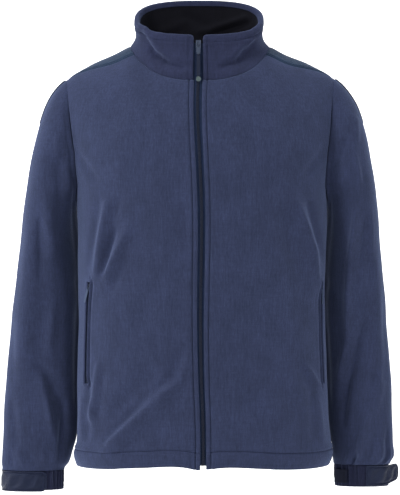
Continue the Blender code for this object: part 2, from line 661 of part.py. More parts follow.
def front_places(side):
    """Girth share and level of a front panel's grid."""
    levels = lower_levels()
    rows = []
    for level in levels:
        start = float(front_edge_girth(side, np.array(level)))
        girth = start + (1 - start) * column_shares(side, CHEST_Z + level)
        x = side * girth_to_pq(girth)[0] * half_width(1, HEM_Z)
        near_hem = 1.0 - smoothstep(HEM_Z, HEM_Z + 2 * HEM_TURN, CHEST_Z + level)
        rows.append(np.stack([girth, level + (hem_level(x) - (HEM_Z - CHEST_Z)) * near_hem], axis=-1))
    low = np.array(rows)

    shares_u = column_shares(side, UNDERARM_Z)
    shares_v = np.linspace(0.0, 1.0, CHEST_ROWS + 1)
    seam = arch_to_girth(side, shoulder_seam(side, "front"))
    neck = arch_to_girth(side, np.stack(neck_ring(neck_stops(side, zip_gap(NECK_FRONT_Z))[0]), axis=-1))
    edge_levels = np.linspace(levels[-1], neck[0, 1], 40)
    edge = np.stack([front_edge_girth(side, edge_levels), edge_levels], axis=-1)
    neck[0] = edge[-1]
    top = np.vstack([neck, resample(seam, seam_shares(side), METRIC)[1:]])
    armhole = armhole_girth(side, armhole_stops()[0])
    high = coons(low[-1], top, resample(edge, shares_v, METRIC), armhole, shares_u, shares_v)
    return np.concatenate([low, high[1:]])


def hem_thickness(places, keep_from):
    """Two layers in the turned hem, one beside the zip and above it."""
    z = CHEST_Z + places[..., 1]
    in_hem = 1.0 - smoothstep(HEM_Z + HEM_TURN - 0.004, HEM_Z + HEM_TURN + 0.004, z)
    clear = smoothstep(keep_from, keep_from + 0.03, np.abs(places[..., 0]))
    return FLEECE + HEM_EXTRA * in_hem * clear


def slit_rows():
    start = BODY_ROWS[0] + BODY_ROWS[1]
    return range(start, start + BODY_ROWS[2])


def front_grid(side):
    """Outer points, normals and thickness of a front."""
    places = front_places(side)
    signed = places * np.array([side, 1.0])
    points, normals = surface_grid(lambda half: body_chart(half, "front"), signed)
    points = inset_edges(points, ("last_row", "last_column"))
    return points, normals, hem_thickness(places, ZIP_TAPE_WIDTH / FRONT_RUN + 0.06)


def make_front(side, name):
    """A front with its slit for the pocket zip."""
    points, normals, thickness = front_grid(side)
    holes = {(row, SLIT_COLUMN) for row in slit_rows()}
    return wall(name, points, normals, thickness, "fleece", holes=holes)


def back_places():
    """Signed girth share and level of the back panel's grid."""
    shares = np.linspace(0.0, 1.0, 2 * BACK_HALF + 1)
    levels = lower_levels()
    girth = 2 * shares - 1
    low = []
    for level in levels:
        near_hem = 1.0 - smoothstep(HEM_Z, HEM_Z + 2 * HEM_TURN, CHEST_Z + level)
        side_wave = hem_level(np.sign(girth) * half_width(1, HEM_Z)) - (HEM_Z - CHEST_Z)
        side_wave = side_wave * smoothstep(0.6, 1.0, np.abs(girth))
        low.append(np.stack([girth, level + side_wave * near_hem], axis=-1))
    low = np.array(low)

    edges, halves = {}, {}
    for side in (-1, 1):
        mirror = np.array([side, 1.0])
        edges[side] = armhole_girth(side, armhole_stops()[2][::-1]) * mirror
        seam = arch_to_girth(side, shoulder_seam(side, "back"))[::-1]
        neck = arch_to_girth(side, np.stack(neck_ring(neck_stops(side, zip_gap(NECK_FRONT_Z))[2]), axis=-1))
        seam_part = resample(seam, np.linspace(0.0, 1.0, SEAM_COLUMNS + 1), METRIC)
        halves[side] = np.vstack([seam_part, neck[1:]]) * mirror
    top = np.vstack([halves[-1], halves[1][::-1][1:]])
    top[BACK_HALF, 0] = 0.0
    high = coons(low[-1], top, edges[-1], edges[1], shares, np.linspace(0.0, 1.0, CHEST_ROWS + 1))
    return np.concatenate([low, high[1:]])


def make_back():
    places = back_places()
    points, normals = surface_grid(lambda half: body_chart(half, "back"), places)
    points = inset_edges(points, ("last_row", "first_column", "last_column"))
    return wall("back", points, normals, hem_thickness(places, -1.0), "fleece")


def make_shoulder_panel(side, name):
    """The woven panel over a shoulder, between the front and back seams."""
    shares_u = np.linspace(0.0, 1.0, SEAM_COLUMNS + 1)
    shares_v = np.linspace(0.0, 1.0, SHOULDER_ROWS + 1)
    seams = {face: arch_to_girth(side, shoulder_seam(side, face)) for face in ("front", "back")}
    front = girth_to_arch(side, resample(seams["front"], seam_shares(side), METRIC), -1.0)
    back = girth_to_arch(side, resample(seams["back"], shares_u, METRIC), 1.0)
    neck = np.stack(neck_ring(neck_stops(side, zip_gap(NECK_FRONT_Z))[1]), axis=-1)
    arm = armhole_arch(side, armhole_stops()[1])
    places = coons(front, back, neck, arm, shares_u, shares_v)
    chart = shoulder_chart(side)
    points = chart(places[..., 0], places[..., 1])
    normals = chart_normals(chart, places[..., 0], places[..., 1], body_middle)
    points = inset_edges(points, ("first_row", "last_row", "first_column", "last_column"))
    return wall(name, points, normals, FLEECE, "woven_panel")


# ======================================================================================================
# Sleeves
# ======================================================================================================
SLEEVE_TABLE = falling(SLEEVE_SECTIONS)
CAP_ROWS = 8
PANEL_ROWS = (0.25, 3.7)        # first and last row of the sleeve that the woven panel covers
PANEL_BACK_COLUMNS = 2          # columns that it reaches behind the shoulder panel
PANEL_TAPER = 0.45              # columns that its front edge moves back by at its lower end
PANEL_CLEARANCE = 0.0006
SLEEVE_LEVELS = (-0.365, -0.402, -0.440, -0.480, -0.520, -0.560, -0.598, -0.634, -0.667, -0.694)


def sleeve_ring(side, angle, z):
    """Point of the sleeve's own section: 0 is outermost, a quarter turn on is the front."""
    outer = smooth_table(z, SLEEVE_TABLE, 1 if side < 0 else 2)
    inner = half_width(side, z) + smooth_table(z, SLEEVE_TABLE, 3 if side < 0 else 4)
    middle_y = smooth_table(z, SLEEVE_TABLE, 5)
    half_depth = smooth_table(z, SLEEVE_TABLE, 6)
    across = signed_power(np.cos(angle), 2 / SLEEVE_ROUNDNESS) * (outer - inner) / 2
    forward = signed_power(np.sin(angle), 2 / SLEEVE_ROUNDNESS) * half_depth
    reach = np.hypot((outer - inner) / 2, SLEEVE_SHEAR * half_depth) / ((outer - inner) / 2)
    x = (outer + inner) / 2 + across / reach + SLEEVE_SHEAR * -forward
    return np.stack([side * x, middle_y - forward, z + 0.0 * x], axis=-1)


def armhole_point(side, angle):
    """Point of the armhole's seam on the folded body, a seam's gap outside it."""
    place = armhole_girth(side, angle)
    front = body_chart(side, "front")(place[..., 0], place[..., 1])
    back = body_chart(side, "back")(place[..., 0], place[..., 1])
    return np.where((angle >= 0)[..., None], front, back)


def cap_point(side, angle, share):
    """The sleeve head: from the armhole, 0, to the first level section, 1."""
    turn = np.degrees(angle) % 360.0
    around = np.where(angle % (2 * math.pi) > math.pi, angle % (2 * math.pi) - 2 * math.pi,
                      angle % (2 * math.pi))
    start = armhole_point(side, around)
    end = sleeve_ring(side, angle, np.full_like(angle, CAP_END_Z))
    below = sleeve_ring(side, angle, np.full_like(angle, CAP_END_Z - 0.01))
    leave = np.stack([side * smooth_table(turn, CAP_LEAVES, 1), -smooth_table(turn, CAP_LEAVES, 2),
                      -smooth_table(turn, CAP_LEAVES, 3)], axis=-1)
    leave = unit(leave)
    start = start + leave * SEAM_GAP / 2
    leave = leave * smooth_table(turn, CAP_LEAVES, 4)[..., None] * CAP_FULLNESS[side]
    arrive = unit(below - end) * smooth_table(turn, CAP_ENDS)[..., None]
    t = share[..., None]
    return ((2 * t**3 - 3 * t**2 + 1) * start + (t**3 - 2 * t**2 + t) * leave
            + (3 * t**2 - 2 * t**3) * end + (t**3 - t**2) * arrive)


def sleeve_bare(side):
    """Sleeve surface by angle and run: 0 to 1 is the head, and past 1 the drop below it in metres."""
    def bare(angle, run):
        z = CAP_END_Z - np.maximum(run - 1.0, 0.0)
        return np.where((run < 1.0)[..., None], cap_point(side, angle, np.clip(run, 0.0, 1.0)),
                        sleeve_ring(side, angle, z))
    return bare


def sleeve_middle(points):
    """A line inside the sleeve at each point's height."""
    side = np.sign(points[..., 0])
    return np.stack([side * 0.262, np.full_like(side, 0.035), np.minimum(points[..., 2], -0.16)], axis=-1)


def sleeve_fold_field(side):
    def field(angle, points):
        radius = 0.060
        turn = angle % (2 * math.pi)
        folds = SLEEVE_FOLDS[side].copy()
        folds[:, (0, 2)] = np.radians(folds[:, (0, 2)]) * radius
        return fold_height(turn * radius, points[..., 2], folds)
    return field


def sleeve_chart(side):
    """Sleeve surface with its folds."""
    bare = sleeve_bare(side)
    field = sleeve_fold_field(side)

    def raised(angle, run):
        points = bare(angle, run)
        rise = field(angle, points) * smoothstep(0.0, 0.25, run)
        return points + chart_normals(bare, angle, run, sleeve_middle) * rise[..., None]
    return raised


def sleeve_runs(side):
    """Runs of the sleeve's rows: dense where the head bends, and a tucked-in end at the cuff."""
    cap = np.linspace(0.0, 1.0, CAP_ROWS + 1)
    levels = [z for z in SLEEVE_LEVELS if z > SLEEVE_END_Z[side] + 0.012]
    levels = levels + [SLEEVE_END_Z[side] + 0.009, SLEEVE_END_Z[side]]
    return np.concatenate([cap, 1.0 + CAP_END_Z - np.array(levels)])


def cuff_ring(side, angle, grow=0.0):
    """Middle line of the cuff in plan, grown outwards."""
    outer, inner, middle_y, half_depth = CUFF_RING[side]
    x = (outer + inner) / 2 + signed_power(np.cos(angle), 2 / SLEEVE_ROUNDNESS) * ((outer - inner) / 2 + grow)
    y = middle_y - signed_power(np.sin(angle), 2 / SLEEVE_ROUNDNESS) * (half_depth + grow)
    return side * x, y


def sleeve_grid(side):
    """Outer points and normals of a sleeve. Columns start at the back end of the shoulder panel."""
    runs = sleeve_runs(side)
    front, shoulder, back = armhole_stops()
    around = np.concatenate([shoulder[::-1], front[::-1][1:], back[::-1][1:-1] + 2 * math.pi])
    angle, run = np.meshgrid(around, runs)
    chart = sleeve_chart(side)
    points = chart(angle, run)
    normals = chart_normals(chart, angle, np.maximum(run, 4e-4), sleeve_middle)
    end_x, end_y = cuff_ring(side, angle[-1], 0.0022)
    points[-1] = np.stack([end_x, end_y, np.full_like(end_x, SLEEVE_END_Z[side])], axis=-1)
    normals[-1, :, 2] = 0.0
    normals[-1] = unit(normals[-1])
    return points, normals


def make_sleeve(side, name):
    points, normals = sleeve_grid(side)
    return wall(name, points, normals, FLEECE, "fleece", closed=True)


def make_sleeve_panel(side, name):
    """The woven panel on the sleeve head, laid on the sleeve's own points."""
    points, normals = sleeve_grid(side)
    rows = np.concatenate([[PANEL_ROWS[0]], np.arange(1.0, PANEL_ROWS[1]), [PANEL_ROWS[1]]])
    columns = np.arange(-PANEL_BACK_COLUMNS, SHOULDER_ROWS + 1.0)
    columns, rows = np.meshgrid(columns, rows)
    taper = smoothstep(0.0, PANEL_ROWS[1], rows)
    columns = np.where(columns > SHOULDER_ROWS - 1.5, columns - PANEL_TAPER * taper, columns)
    turned = [np.roll(grid, PANEL_BACK_COLUMNS, axis=1) for grid in (points, normals)]
    lying, out = [grid_at(grid, rows, columns + PANEL_BACK_COLUMNS) for grid in turned]
    lifted = lying + unit(out) * (PANEL_CLEARANCE + WOVEN)
    return wall(name, lifted, unit(out), WOVEN, "woven_panel")


# ======================================================================================================
# Cuffs
# ======================================================================================================
def cuff_points(side, angle, lift):
    """Points of the cuff's outer side in plan, moved out by lift."""
    x, y = cuff_ring(side, angle, 0.0)
    ahead_x, ahead_y = cuff_ring(side, angle + 1e-3, 0.0)
    behind_x, behind_y = cuff_ring(side, angle - 1e-3, 0.0)
    along = unit(np.stack([ahead_x - behind_x, ahead_y - behind_y], axis=-1))
    out = side * np.stack([-along[..., 1], along[..., 0]], axis=-1)
    centre = np.array([side * sum(CUFF_RING[side][:2]) / 2, CUFF_RING[side][2]])
    plan = np.stack([x, y], axis=-1)
    out = out * np.sign(np.sum(out * (plan - centre), axis=-1, keepdims=True))
    return plan + out * np.asarray(lift)[..., None], out


def gather_rise(side, index, angle):
    """Ridges and troughs in turn, uneven, only where the elastic is."""
    turn = np.degrees(angle)
    inside = smoothstep(GATHER_START[side] - 4, GATHER_START[side] + 2, turn)
    inside = inside * (1 - smoothstep(GATHER_END[side] - 2, GATHER_END[side] + 4, turn))
    uneven = 0.75 + 0.25 * np.sin(1.7 * index + side)
    return np.where(index % 2 == 0, GATHER_HEIGHT * uneven, 0.0) * inside


def make_cuff(side, name):
    """The elastic cuff, a ring of small gathers."""
    columns = 2 * CUFF_GATHERS
    index = np.arange(columns)
    angle = (index + 0.22 * np.sin(2.1 * index)) * 2 * math.pi / columns
    top = SLEEVE_END_Z[side] - SEAM_GAP
    levels = top - CUFF_HEIGHT[side] * np.array([0.0, 0.40, 1.0])
    swell = (0.15, 1.0, 0.70)
    rows, directions = [], []
    for level, share in zip(levels, swell):
        rise = gather_rise(side, index, angle) * share
        plan, out = cuff_points(side, angle, rise)
        rows.append(np.column_stack([plan, np.full(columns, level)]))
        directions.append(np.column_stack([out, np.zeros(columns)]))
    return wall(name, np.array(rows), np.array(directions), FLEECE * 0.75, "fleece", closed=True)


def tab_path(side):
    """The tab's line round the cuff in plan: points and outward directions, and length along it."""
    lift = TAB_CLEARANCE + TAB_THICK
    if side < 0:
        angles = np.radians(np.linspace(-37, 117, 120))
        plan, out = cuff_points(side, angles, np.full(120, lift))
    else:
        angles = np.radians(np.linspace(85, 26, 50))
        plan, out = cuff_points(side, angles, np.full(50, lift))
        onward = unit(plan[-1] - plan[-2])
        reach = (TAB_END_X - plan[-1, 0]) / onward[0]
        steps = np.linspace(0.0, reach, 40)[1:, None]
        plan = np.vstack([plan, plan[-1] + onward * steps])
        out = np.vstack([out, np.repeat(out[-1:], 39, axis=0)])
    travelled = np.concatenate([[0.0], np.cumsum(np.linalg.norm(np.diff(plan, axis=0), axis=1))])
    return plan, out, travelled


def make_cuff_tab(side, name):
    """A strip along the tab's line, with a rounded free end."""
    plan, out, travelled = tab_path(side)
    length = travelled[-1]
    radius = 0.011
    shares = np.concatenate([np.linspace(0.0, length - radius, 22),
                             length - radius + radius * np.sin(np.radians([25, 45, 62, 76, 90]))])
    across = np.array([-1.0, 0.0, 1.0])
    height = TAB_HEIGHT * (1.0 if side < 0 else 1.0 - 0.16 * smoothstep(0.02, length, shares))
    past = np.clip((shares - (length - radius)) / radius, 0.0, 1.0)
    half = height / 2 - radius * (1 - np.sqrt(np.maximum(1 - past**2, 0.0)))
    middle = SLEEVE_END_Z[side] - 0.0010 - TAB_HEIGHT / 2 if side < 0 else SLEEVE_END_Z[side] + 0.001 - 0.0195
    rise = 0.0 if side < 0 else 0.0035 * smoothstep(0.4 * length, length, shares)
    plan_at = resample(np.column_stack([plan, out]), shares / length, (1, 1, 0, 0))
    points = np.zeros((len(across), len(shares), 3))
    normals = np.zeros_like(points)
    for row, place in enumerate(across):
        points[row] = np.column_stack([plan_at[:, :2], middle + rise + place * half])
        normals[row] = unit(np.column_stack([plan_at[:, 2:], np.zeros(len(shares))]))
    return wall(name, points, normals, TAB_THICK, "tab")


def make_cuff_patch(side, name):
    """The patch that the free tab closes on."""
    lift = GATHER_HEIGHT + SEAM_GAP + WOVEN
    angle, z = np.meshgrid(np.radians(np.linspace(122, 164, 6)),
                           SLEEVE_END_Z[side] - np.array([0.008, 0.020, 0.031]))
    plan, out = cuff_points(side, angle, np.full_like(angle, lift))
    points = np.concatenate([plan, z[..., None]], axis=-1)
    normals = np.concatenate([out, np.zeros_like(z)[..., None]], axis=-1)
    return wall(name, points, normals, WOVEN, "tape")


# ======================================================================================================
# Collar
# ======================================================================================================
COLLAR_ROWS = (0.0, 0.18, 0.42, 0.70, 1.0)
ROLL_ANGLES = (45, 90, 135, 180)


def collar_angle_start(side):
    """Neckline angle of the collar's front edge beside the zip."""
    return neck_stops(side, COLLAR_ZIP_GAP)[0][0]


def collar_base(side, angle):
    """Bottom of the collar, just above the neckline."""
    x, tilt = neck_ring(angle)
    base = shoulder_chart(side)(x, tilt)
    return base + np.array([0.0, 0.0, SEAM_GAP + 0.0002])


def collar_rim(side, angle):
    """Outer edge of the collar where the roll begins, with its rounded front corner."""
    share = signed_power(np.sin(angle), 2 / NECK_ROUNDNESS)
    x = side * COLLAR_HALF_WIDTH[side] * share
    y = COLLAR_MIDDLE_Y - COLLAR_HALF_DEPTH * signed_power(np.cos(angle), 2 / NECK_ROUNDNESS)
    z = COLLAR_SIDE_Z - 0.0085 + COLLAR_SLOPE * y - COLLAR_ROLL
    edge_x = COLLAR_HALF_WIDTH[side] * math.sin(collar_angle_start(side)) ** (2 / NECK_ROUNDNESS)
    near = np.clip(1.0 - (np.abs(x) - edge_x) / COLLAR_CORNER, 0.0, 1.0)
    near = np.where(np.cos(angle) > 0, near, 0.0)
    z = z - COLLAR_CORNER * 0.55 * (1 - np.sqrt(np.maximum(1 - near**2, 0.0)))
    return np.stack([x, y, z], axis=-1)


def collar_bare(side):
    """Collar surface by neckline angle and height share, 1 where the roll begins."""
    def bare(angle, share):
        base, rim = collar_base(side, angle), collar_rim(side, angle)
        height = np.linalg.norm(rim - base, axis=-1, keepdims=True)
        radial = unit(np.stack([base[..., 0] * 0.7, base[..., 1] + 0.02, 0.0 * angle], axis=-1))
        lean = COLLAR_LEAN[side] * np.sin(angle)[..., None] ** 2 + 0.10
        up = np.array([0.0, 0.0, 1.0])
        leave = unit(up - radial * lean) * height * (1.0 + 0.20 * lean)
        arrive = unit(up + radial * 0.10 * np.sin(angle)[..., None] ** 2) * height
        t = share[..., None]
        return ((2 * t**3 - 3 * t**2 + 1) * base + (t**3 - 2 * t**2 + t) * leave
                + (3 * t**2 - 2 * t**3) * rim + (t**3 - t**2) * arrive)
    return bare


def collar_middle(points):
    return np.stack([0.0 * points[..., 0], np.full_like(points[..., 0], COLLAR_MIDDLE_Y), points[..., 2]],
                    axis=-1)


def collar_chart(side):
    def folds(points):
        ahead = smoothstep(0.02, -0.01, points[..., 1])
        return fold_height(points[..., 0], points[..., 2], COLLAR_FOLDS) * ahead
    return folded(collar_bare(side), folds, collar_middle)


def collar_angles():
    """Signed angles from the right front edge round the back to the left one."""
    halves = {}
    for side in (-1, 1):
        front, shoulder, back = neck_stops(side, COLLAR_ZIP_GAP)
        near_edge = front[0] + (front[1] - front[0]) * np.array([0.30, 0.62])
        halves[side] = np.concatenate([front[:1], near_edge, front[1:], shoulder[1:], back[1:]])
    return np.concatenate([-halves[-1], halves[1][::-1][1:]])


def collar_grid(signed, shares):
    """Points and normals of the collar on both halves. The signed angle's sign is the side."""
    angle, share = np.meshgrid(signed, shares)
    points = np.zeros(angle.shape + (3,))
    normals = np.zeros_like(points)
    for side in (-1, 1):
        here = (angle < 0) if side < 0 else (angle >= 0)
        if not here.any():
            continue
        chart = collar_chart(side)
        safe = np.clip(np.abs(angle[here]), 1e-3, math.pi - 1e-3)
        points[here] = chart(np.abs(angle[here]), share[here])
        normals[here] = chart_normals(chart, safe, share[here], collar_middle)
    return points, normals


def rim_frame(signed):
    """Where the roll begins: points, outward directions and upward directions."""
    points, normals = collar_grid(signed, np.array([0.8, 1.0]))
    up = unit(points[1] - points[0])
    return points[1], unit(normals[1] - up * np.sum(normals[1] * up, axis=-1, keepdims=True)), up


def make_collar_outer(name):
    """The outer collar and the fleece that rolls over its rim."""
    signed = collar_angles()
    points, normals = collar_grid(signed, np.array(COLLAR_ROWS))
    rim, out, up = rim_frame(signed)
    centre = rim - out * COLLAR_ROLL
    rows, directions = [points], [normals]
    for turn in np.radians(ROLL_ANGLES):
        direction = out * math.cos(turn) + up * math.sin(turn)
        rows.append((centre + direction * COLLAR_ROLL)[None])
        directions.append(direction[None])
    rows.append((centre - out * COLLAR_ROLL - up * COLLAR_LIP)[None])
    directions.append(-out[None])
    return wall(name, np.concatenate(rows), np.concatenate(directions), FLEECE, "fleece")


def make_collar_inner(name):
    """The darker facing inside the collar, from below the roll to the neckline."""
    signed = collar_angles()[1:-1]
    shares = np.array([0.05, 0.35, 0.70, 1.0])
    points, normals = collar_grid(signed, shares)
    rim, out, up = rim_frame(signed)
    lip_inner = 2 * COLLAR_ROLL - FLEECE
    inward = FACING_IN + (lip_inner - FACING_IN) * smoothstep(0.0, 1.0, shares)
    outer = points - normals * inward[:, None, None]
    outer[-1] = rim - out * lip_inner - up * (COLLAR_LIP + 2 * SEAM_GAP)
    normals[-1] = out
    return wall(name, outer, normals, FLEECE, "fleece_inside")


# ======================================================================================================
# Zips
# ======================================================================================================
def centre_front_path():
    """The zip's line on the outer surface: points, outward directions and sideways directions."""
    levels = np.linspace(ZIP_BOTTOM_Z - CHEST_Z, ARCH_RUN * (1 - NECK_FRONT_DROP / (math.pi / 2)) - 0.004, 40)
    rise = np.sin(np.maximum(levels, 0.0) / ARCH_RUN * math.pi / 2)
    z = CHEST_Z + np.minimum(levels, 0.0) + rise * (ridge_z(1, 0.0) - CHEST_Z)
    middle = zip_x(z)
    points, normals = surface_grid(lambda half: body_chart(half, "front"),
                                   np.stack([p_to_girth(middle / 0.22), levels], axis=-1))
    shares = np.linspace(0.0, 0.93, 8)
    collar, collar_normals = collar_grid(np.array([collar_angle_start(1)]), shares)
    collar_normals[0] = unit(collar_normals[0] + normals[-1])
    collar = collar[:, 0]
    collar[:, 0] = zip_x(collar[:, 2])
    path = np.vstack([points, collar])
    out = np.vstack([normals, collar_normals[:, 0]])
    out[:, 0] = 0.0
    out = unit(out)
    along = unit(np.gradient(path, axis=0))
    across = unit(np.cross(along, out))
    across *= np.sign(across[:, :1])
    return path, out, across


def zip_section(side):
    """Tape and coil across one side: distance from the zip's middle, lift over the tape."""
    edge = SEAM_GAP / 2
    return np.array([(edge, COIL_HEIGHT * 0.8), (edge + COIL_WIDTH * 0.4, COIL_HEIGHT),
                     (COIL_WIDTH - 0.0004, COIL_HEIGHT * 0.75), (COIL_WIDTH, 0.0), (ZIP_TAPE_WIDTH, 0.0)])


def make_zip_tape(side, name):
    """One tape of the main zip with its coil, behind the front edge."""
    path, out, across = centre_front_path()
    keep = np.concatenate([np.arange(0, 36, 3), np.arange(37, len(path))])
    path, out, across = path[keep], out[keep], across[keep]
    section = zip_section(side)
    behind = FLEECE + TAPE_BEHIND
    points = (path[:, None] + side * across[:, None] * section[None, :, :1]
              - out[:, None] * (behind - section[None, :, 1:]))
    thickness = TAPE + section[None, :, 1]
    return wall(name, points, np.repeat(out[:, None], len(section), axis=1), thickness, "tape")


def pocket_rows():
    """Fractional rows of the front that the pocket zip runs along, past both ends of the slit."""
    first, last = slit_rows()[0], slit_rows()[-1] + 1
    inside = np.arange(first + 1.0, last)
    return np.concatenate([[first - POCKET_PAST, first, first + COIL_STARTS], inside,
                           [last - COIL_STARTS, last, last + POCKET_PAST]])


def pocket_surface(side, rows, offsets):
    """Points and directions under a front's inner side, by row and distance from the slit's middle."""
    points, normals, thickness = front_grid(side)
    inner = points - normals * thickness[..., None]
    near, far = float(SLIT_COLUMN), float(SLIT_COLUMN + 1)

    def column_at(column):
        return grid_at(inner, rows, np.full_like(rows, column))

    width = np.linalg.norm(column_at(far) - column_at(near), axis=-1)[:, None]
    before = np.linalg.norm(column_at(near) - column_at(near - 1), axis=-1)[:, None]
    after = np.linalg.norm(column_at(far + 1) - column_at(far), axis=-1)[:, None]
    from_near = offsets[None] + width / 2
    columns = near + from_near / width
    columns = np.where(from_near < 0, near + from_near / before, columns)
    columns = np.where(from_near > width, far + (from_near - width) / after, columns)
    all_rows = np.repeat(rows[:, None], len(offsets), axis=1)
    return grid_at(inner, all_rows, columns), unit(grid_at(normals, all_rows, columns))


def make_pocket_zip(side, name):
    """The pocket's closed zip behind its slit: two tapes and the meshed coil as one strip."""
    offsets = np.array([-0.0100, -0.0024, -0.0018, 0.0018, 0.0024, 0.0100])
    points, normals = pocket_surface(side, pocket_rows(), offsets)
    lifts = np.zeros(points.shape[:2])
    lifts[2:-2, 2:4] = POCKET_COIL_HEIGHT
    outer = points - normals * (POCKET_TAPE_BEHIND - lifts)[..., None]
    return wall(name, outer, normals, TAPE + lifts, "tape")


# ---- sliders and pulls -------------------------------------------------------------------------------
def frame_matrix(origin, up, out):
    """Local x across, y up along the zip, z out of the cloth."""
    out = Vector(out).normalized()
    up = Vector(up)
    up = (up - out * up.dot(out)).normalized()
    across = up.cross(out)
    matrix = Matrix((across, up, out)).transposed().to_4x4()
    matrix.translation = Vector(origin)
    return matrix


def extruded(name, outline, low, high, finish, axis="z", hole=None):
    """A closed prism of an outline, with a hole through it if one is given."""
    loops = [outline] + ([hole] if hole else [])
    order = {"z": lambda a, b, c: (a, b, c), "x": lambda a, b, c: (c, a, b),
             "y": lambda a, b, c: (a, c, b)}[axis]
    work = bmesh.new()
    edges = []
    for loop in loops:
        ring = [work.verts.new(order(a, b, low)) for a, b in loop]
        edges += [work.edges.new((ring[i], ring[(i + 1) % len(ring)])) for i in range(len(ring))]
    flat = bmesh.ops.triangle_fill(work, edges=edges, use_beauty=True)
    faces = [item for item in flat["geom"] if isinstance(item, bmesh.types.BMFace)]
    grown = bmesh.ops.extrude_face_region(work, geom=faces)
    moved = [item for item in grown["geom"] if isinstance(item, bmesh.types.BMVert)]
    bmesh.ops.translate(work, verts=moved, vec=Vector(order(0.0, 0.0, high - low)))
    bmesh.ops.recalc_face_normals(work, faces=work.faces)
    mesh = bpy.data.meshes.new(name)
    work.to_mesh(mesh)
    work.free()
    mesh.materials.append(material(finish))
    made = bpy.data.objects.new(name, mesh)
    bpy.context.scene.collection.objects.link(made)
    return made


def capsule(half, bottom, top, steps=4):
    """Outline of a bar with round ends, from bottom to top."""
    turn = np.linspace(0.0, math.pi, steps + 1)
    upper = [(half * math.cos(a), top - half + half * math.sin(a)) for a in turn]
    lower = [(-x, bottom + top - y) for x, y in upper]
    return upper + lower


def make_slider(name, scale, matrix):
    """A slider: a hood over the coil, with an arch on it that holds the pull. Outlines in millimetres."""
    s = scale * 1e-3
    hood = [(-4.4, -0.7), (-3.5, -0.7), (-3.2, 0.55), (3.2, 0.55), (3.5, -0.7), (4.4, -0.7), (4.2, 1.1),
            (2.4, 1.9), (-2.4, 1.9), (-4.2, 1.1)]
    arch_outer = [(-3.4, 1.2), (3.4, 1.2), (3.4, 3.9), (2.7, 4.8), (-2.7, 4.8), (-3.4, 3.9)]
    arch_inner = [(-2.3, 1.95), (2.3, 1.95), (2.3, 3.7), (1.9, 4.0), (-1.9, 4.0), (-2.3, 3.7)]
    loops = (hood, arch_outer, arch_inner)
    hood, arch_outer, arch_inner = [[(a * s, b * s) for a, b in loop] for loop in loops]
    body = extruded(name, hood, -6.0 * s, 6.0 * s, "metal", "y")
    arch = extruded(name + "_arch", arch_outer, -0.8 * s, 0.8 * s, "metal", "x", hole=arch_inner)
    arch.hide_render = True
    arch.display_type = "WIRE"
    joined = body.modifiers.new("arch", "BOOLEAN")
    joined.operation = "UNION"
    joined.solver = "EXACT"
    joined.object = arch
    for item in (body, arch):
        item.matrix_world = matrix
    return body


def make_pull(name, scale, length, matrix, finish="metal"):
    """A flat pull with an eye round the slider's arch, its origin on the hinge axis."""
    s = scale * 1e-3
    half = 3.7 * s
    corner = -length + 0.3 * half
    outline = [(half, 0.55 * s), (-half, 0.55 * s), (-half, -length + half), (-half * 0.7, corner),
               (0.0, -length), (half * 0.7, corner), (half, -length + half)]
    eye = 2.5 * s
    hole = [(eye, -0.60 * s), (eye, -5.6 * s), (-eye, -5.6 * s), (-eye, -0.60 * s)]
    made = extruded(name, outline, -0.55 * s, 0.55 * s, finish, "z", hole=hole)
    made.matrix_world = matrix
    return made


PIVOT_LIFT = 3.0e-3             # height of the hinge over the coil on a full-size slider


def hanging_turn(path, matrix, clearance):
    """Turn about the hinge that lays a pull just clear of the zip below it."""
    local = [matrix.inverted() @ Vector(point) for point in path]
    below = [point for point in local if -0.070 < point.y < -0.010]
    steepest = max((point.z + clearance - PIVOT_LIFT) / -point.y for point in below)
    return -math.atan(max(steepest, 0.0))


def zip_frame():
    """Place of the main slider on the zip, near the collar's top."""
    path, out, _ = centre_front_path()

    def at(level, rows):
        return np.array([np.interp(level, path[:, 2], rows[:, axis]) for axis in range(3)])

    slider_z = -0.0055
    outward = unit(at(slider_z, out))
    coil_top = FLEECE + TAPE_BEHIND - COIL_HEIGHT
    up = at(slider_z + 0.006, path) - at(slider_z - 0.006, path)
    return frame_matrix(at(slider_z, path) - outward * coil_top, up, outward)


def pocket_frame(side):
    """Place of a pocket's slider, at the top of its slit."""
    top = slit_rows()[-1] + 1
    points, normals = pocket_surface(side, np.array([top - 0.25, top - 0.45]), np.array([0.0]))
    points = points[:, 0]
    outward = normals[0, 0]
    return frame_matrix(points[0] - outward * (POCKET_TAPE_BEHIND - POCKET_COIL_HEIGHT),
                        points[0] - points[1], outward)


def make_main_slider():
    """Main slider with its long pull: metal tab, moulded puller and a plain rounded tip."""
    matrix = zip_frame()
    make_slider("zip_slider", 1.0, matrix)
    path, out, _ = centre_front_path()
    coil_line = path - out * (FLEECE + TAPE_BEHIND - COIL_HEIGHT)
    hinge = matrix @ Matrix.Translation(Vector((0.0, 0.0, PIVOT_LIFT)))
    hinge = hinge @ Matrix.Rotation(hanging_turn(coil_line, matrix, 0.0020), 4, "X")
    make_pull("zip_pull_tab", 1.0, 0.0180, hinge)
    puller = extruded("zip_puller", capsule(0.0030, -0.0547, -0.0183), -0.0012, 0.0012, "moulded", "z")
    tip = extruded("zip_puller_tip", capsule(0.0043, -0.0640, -0.0550), -0.0015, 0.0015, "tip", "z")
    puller.matrix_world = hinge
    tip.matrix_world = hinge


POCKET_SCALE = 0.75
POCKET_LEAN = {-1: math.radians(14), 1: math.radians(3)}


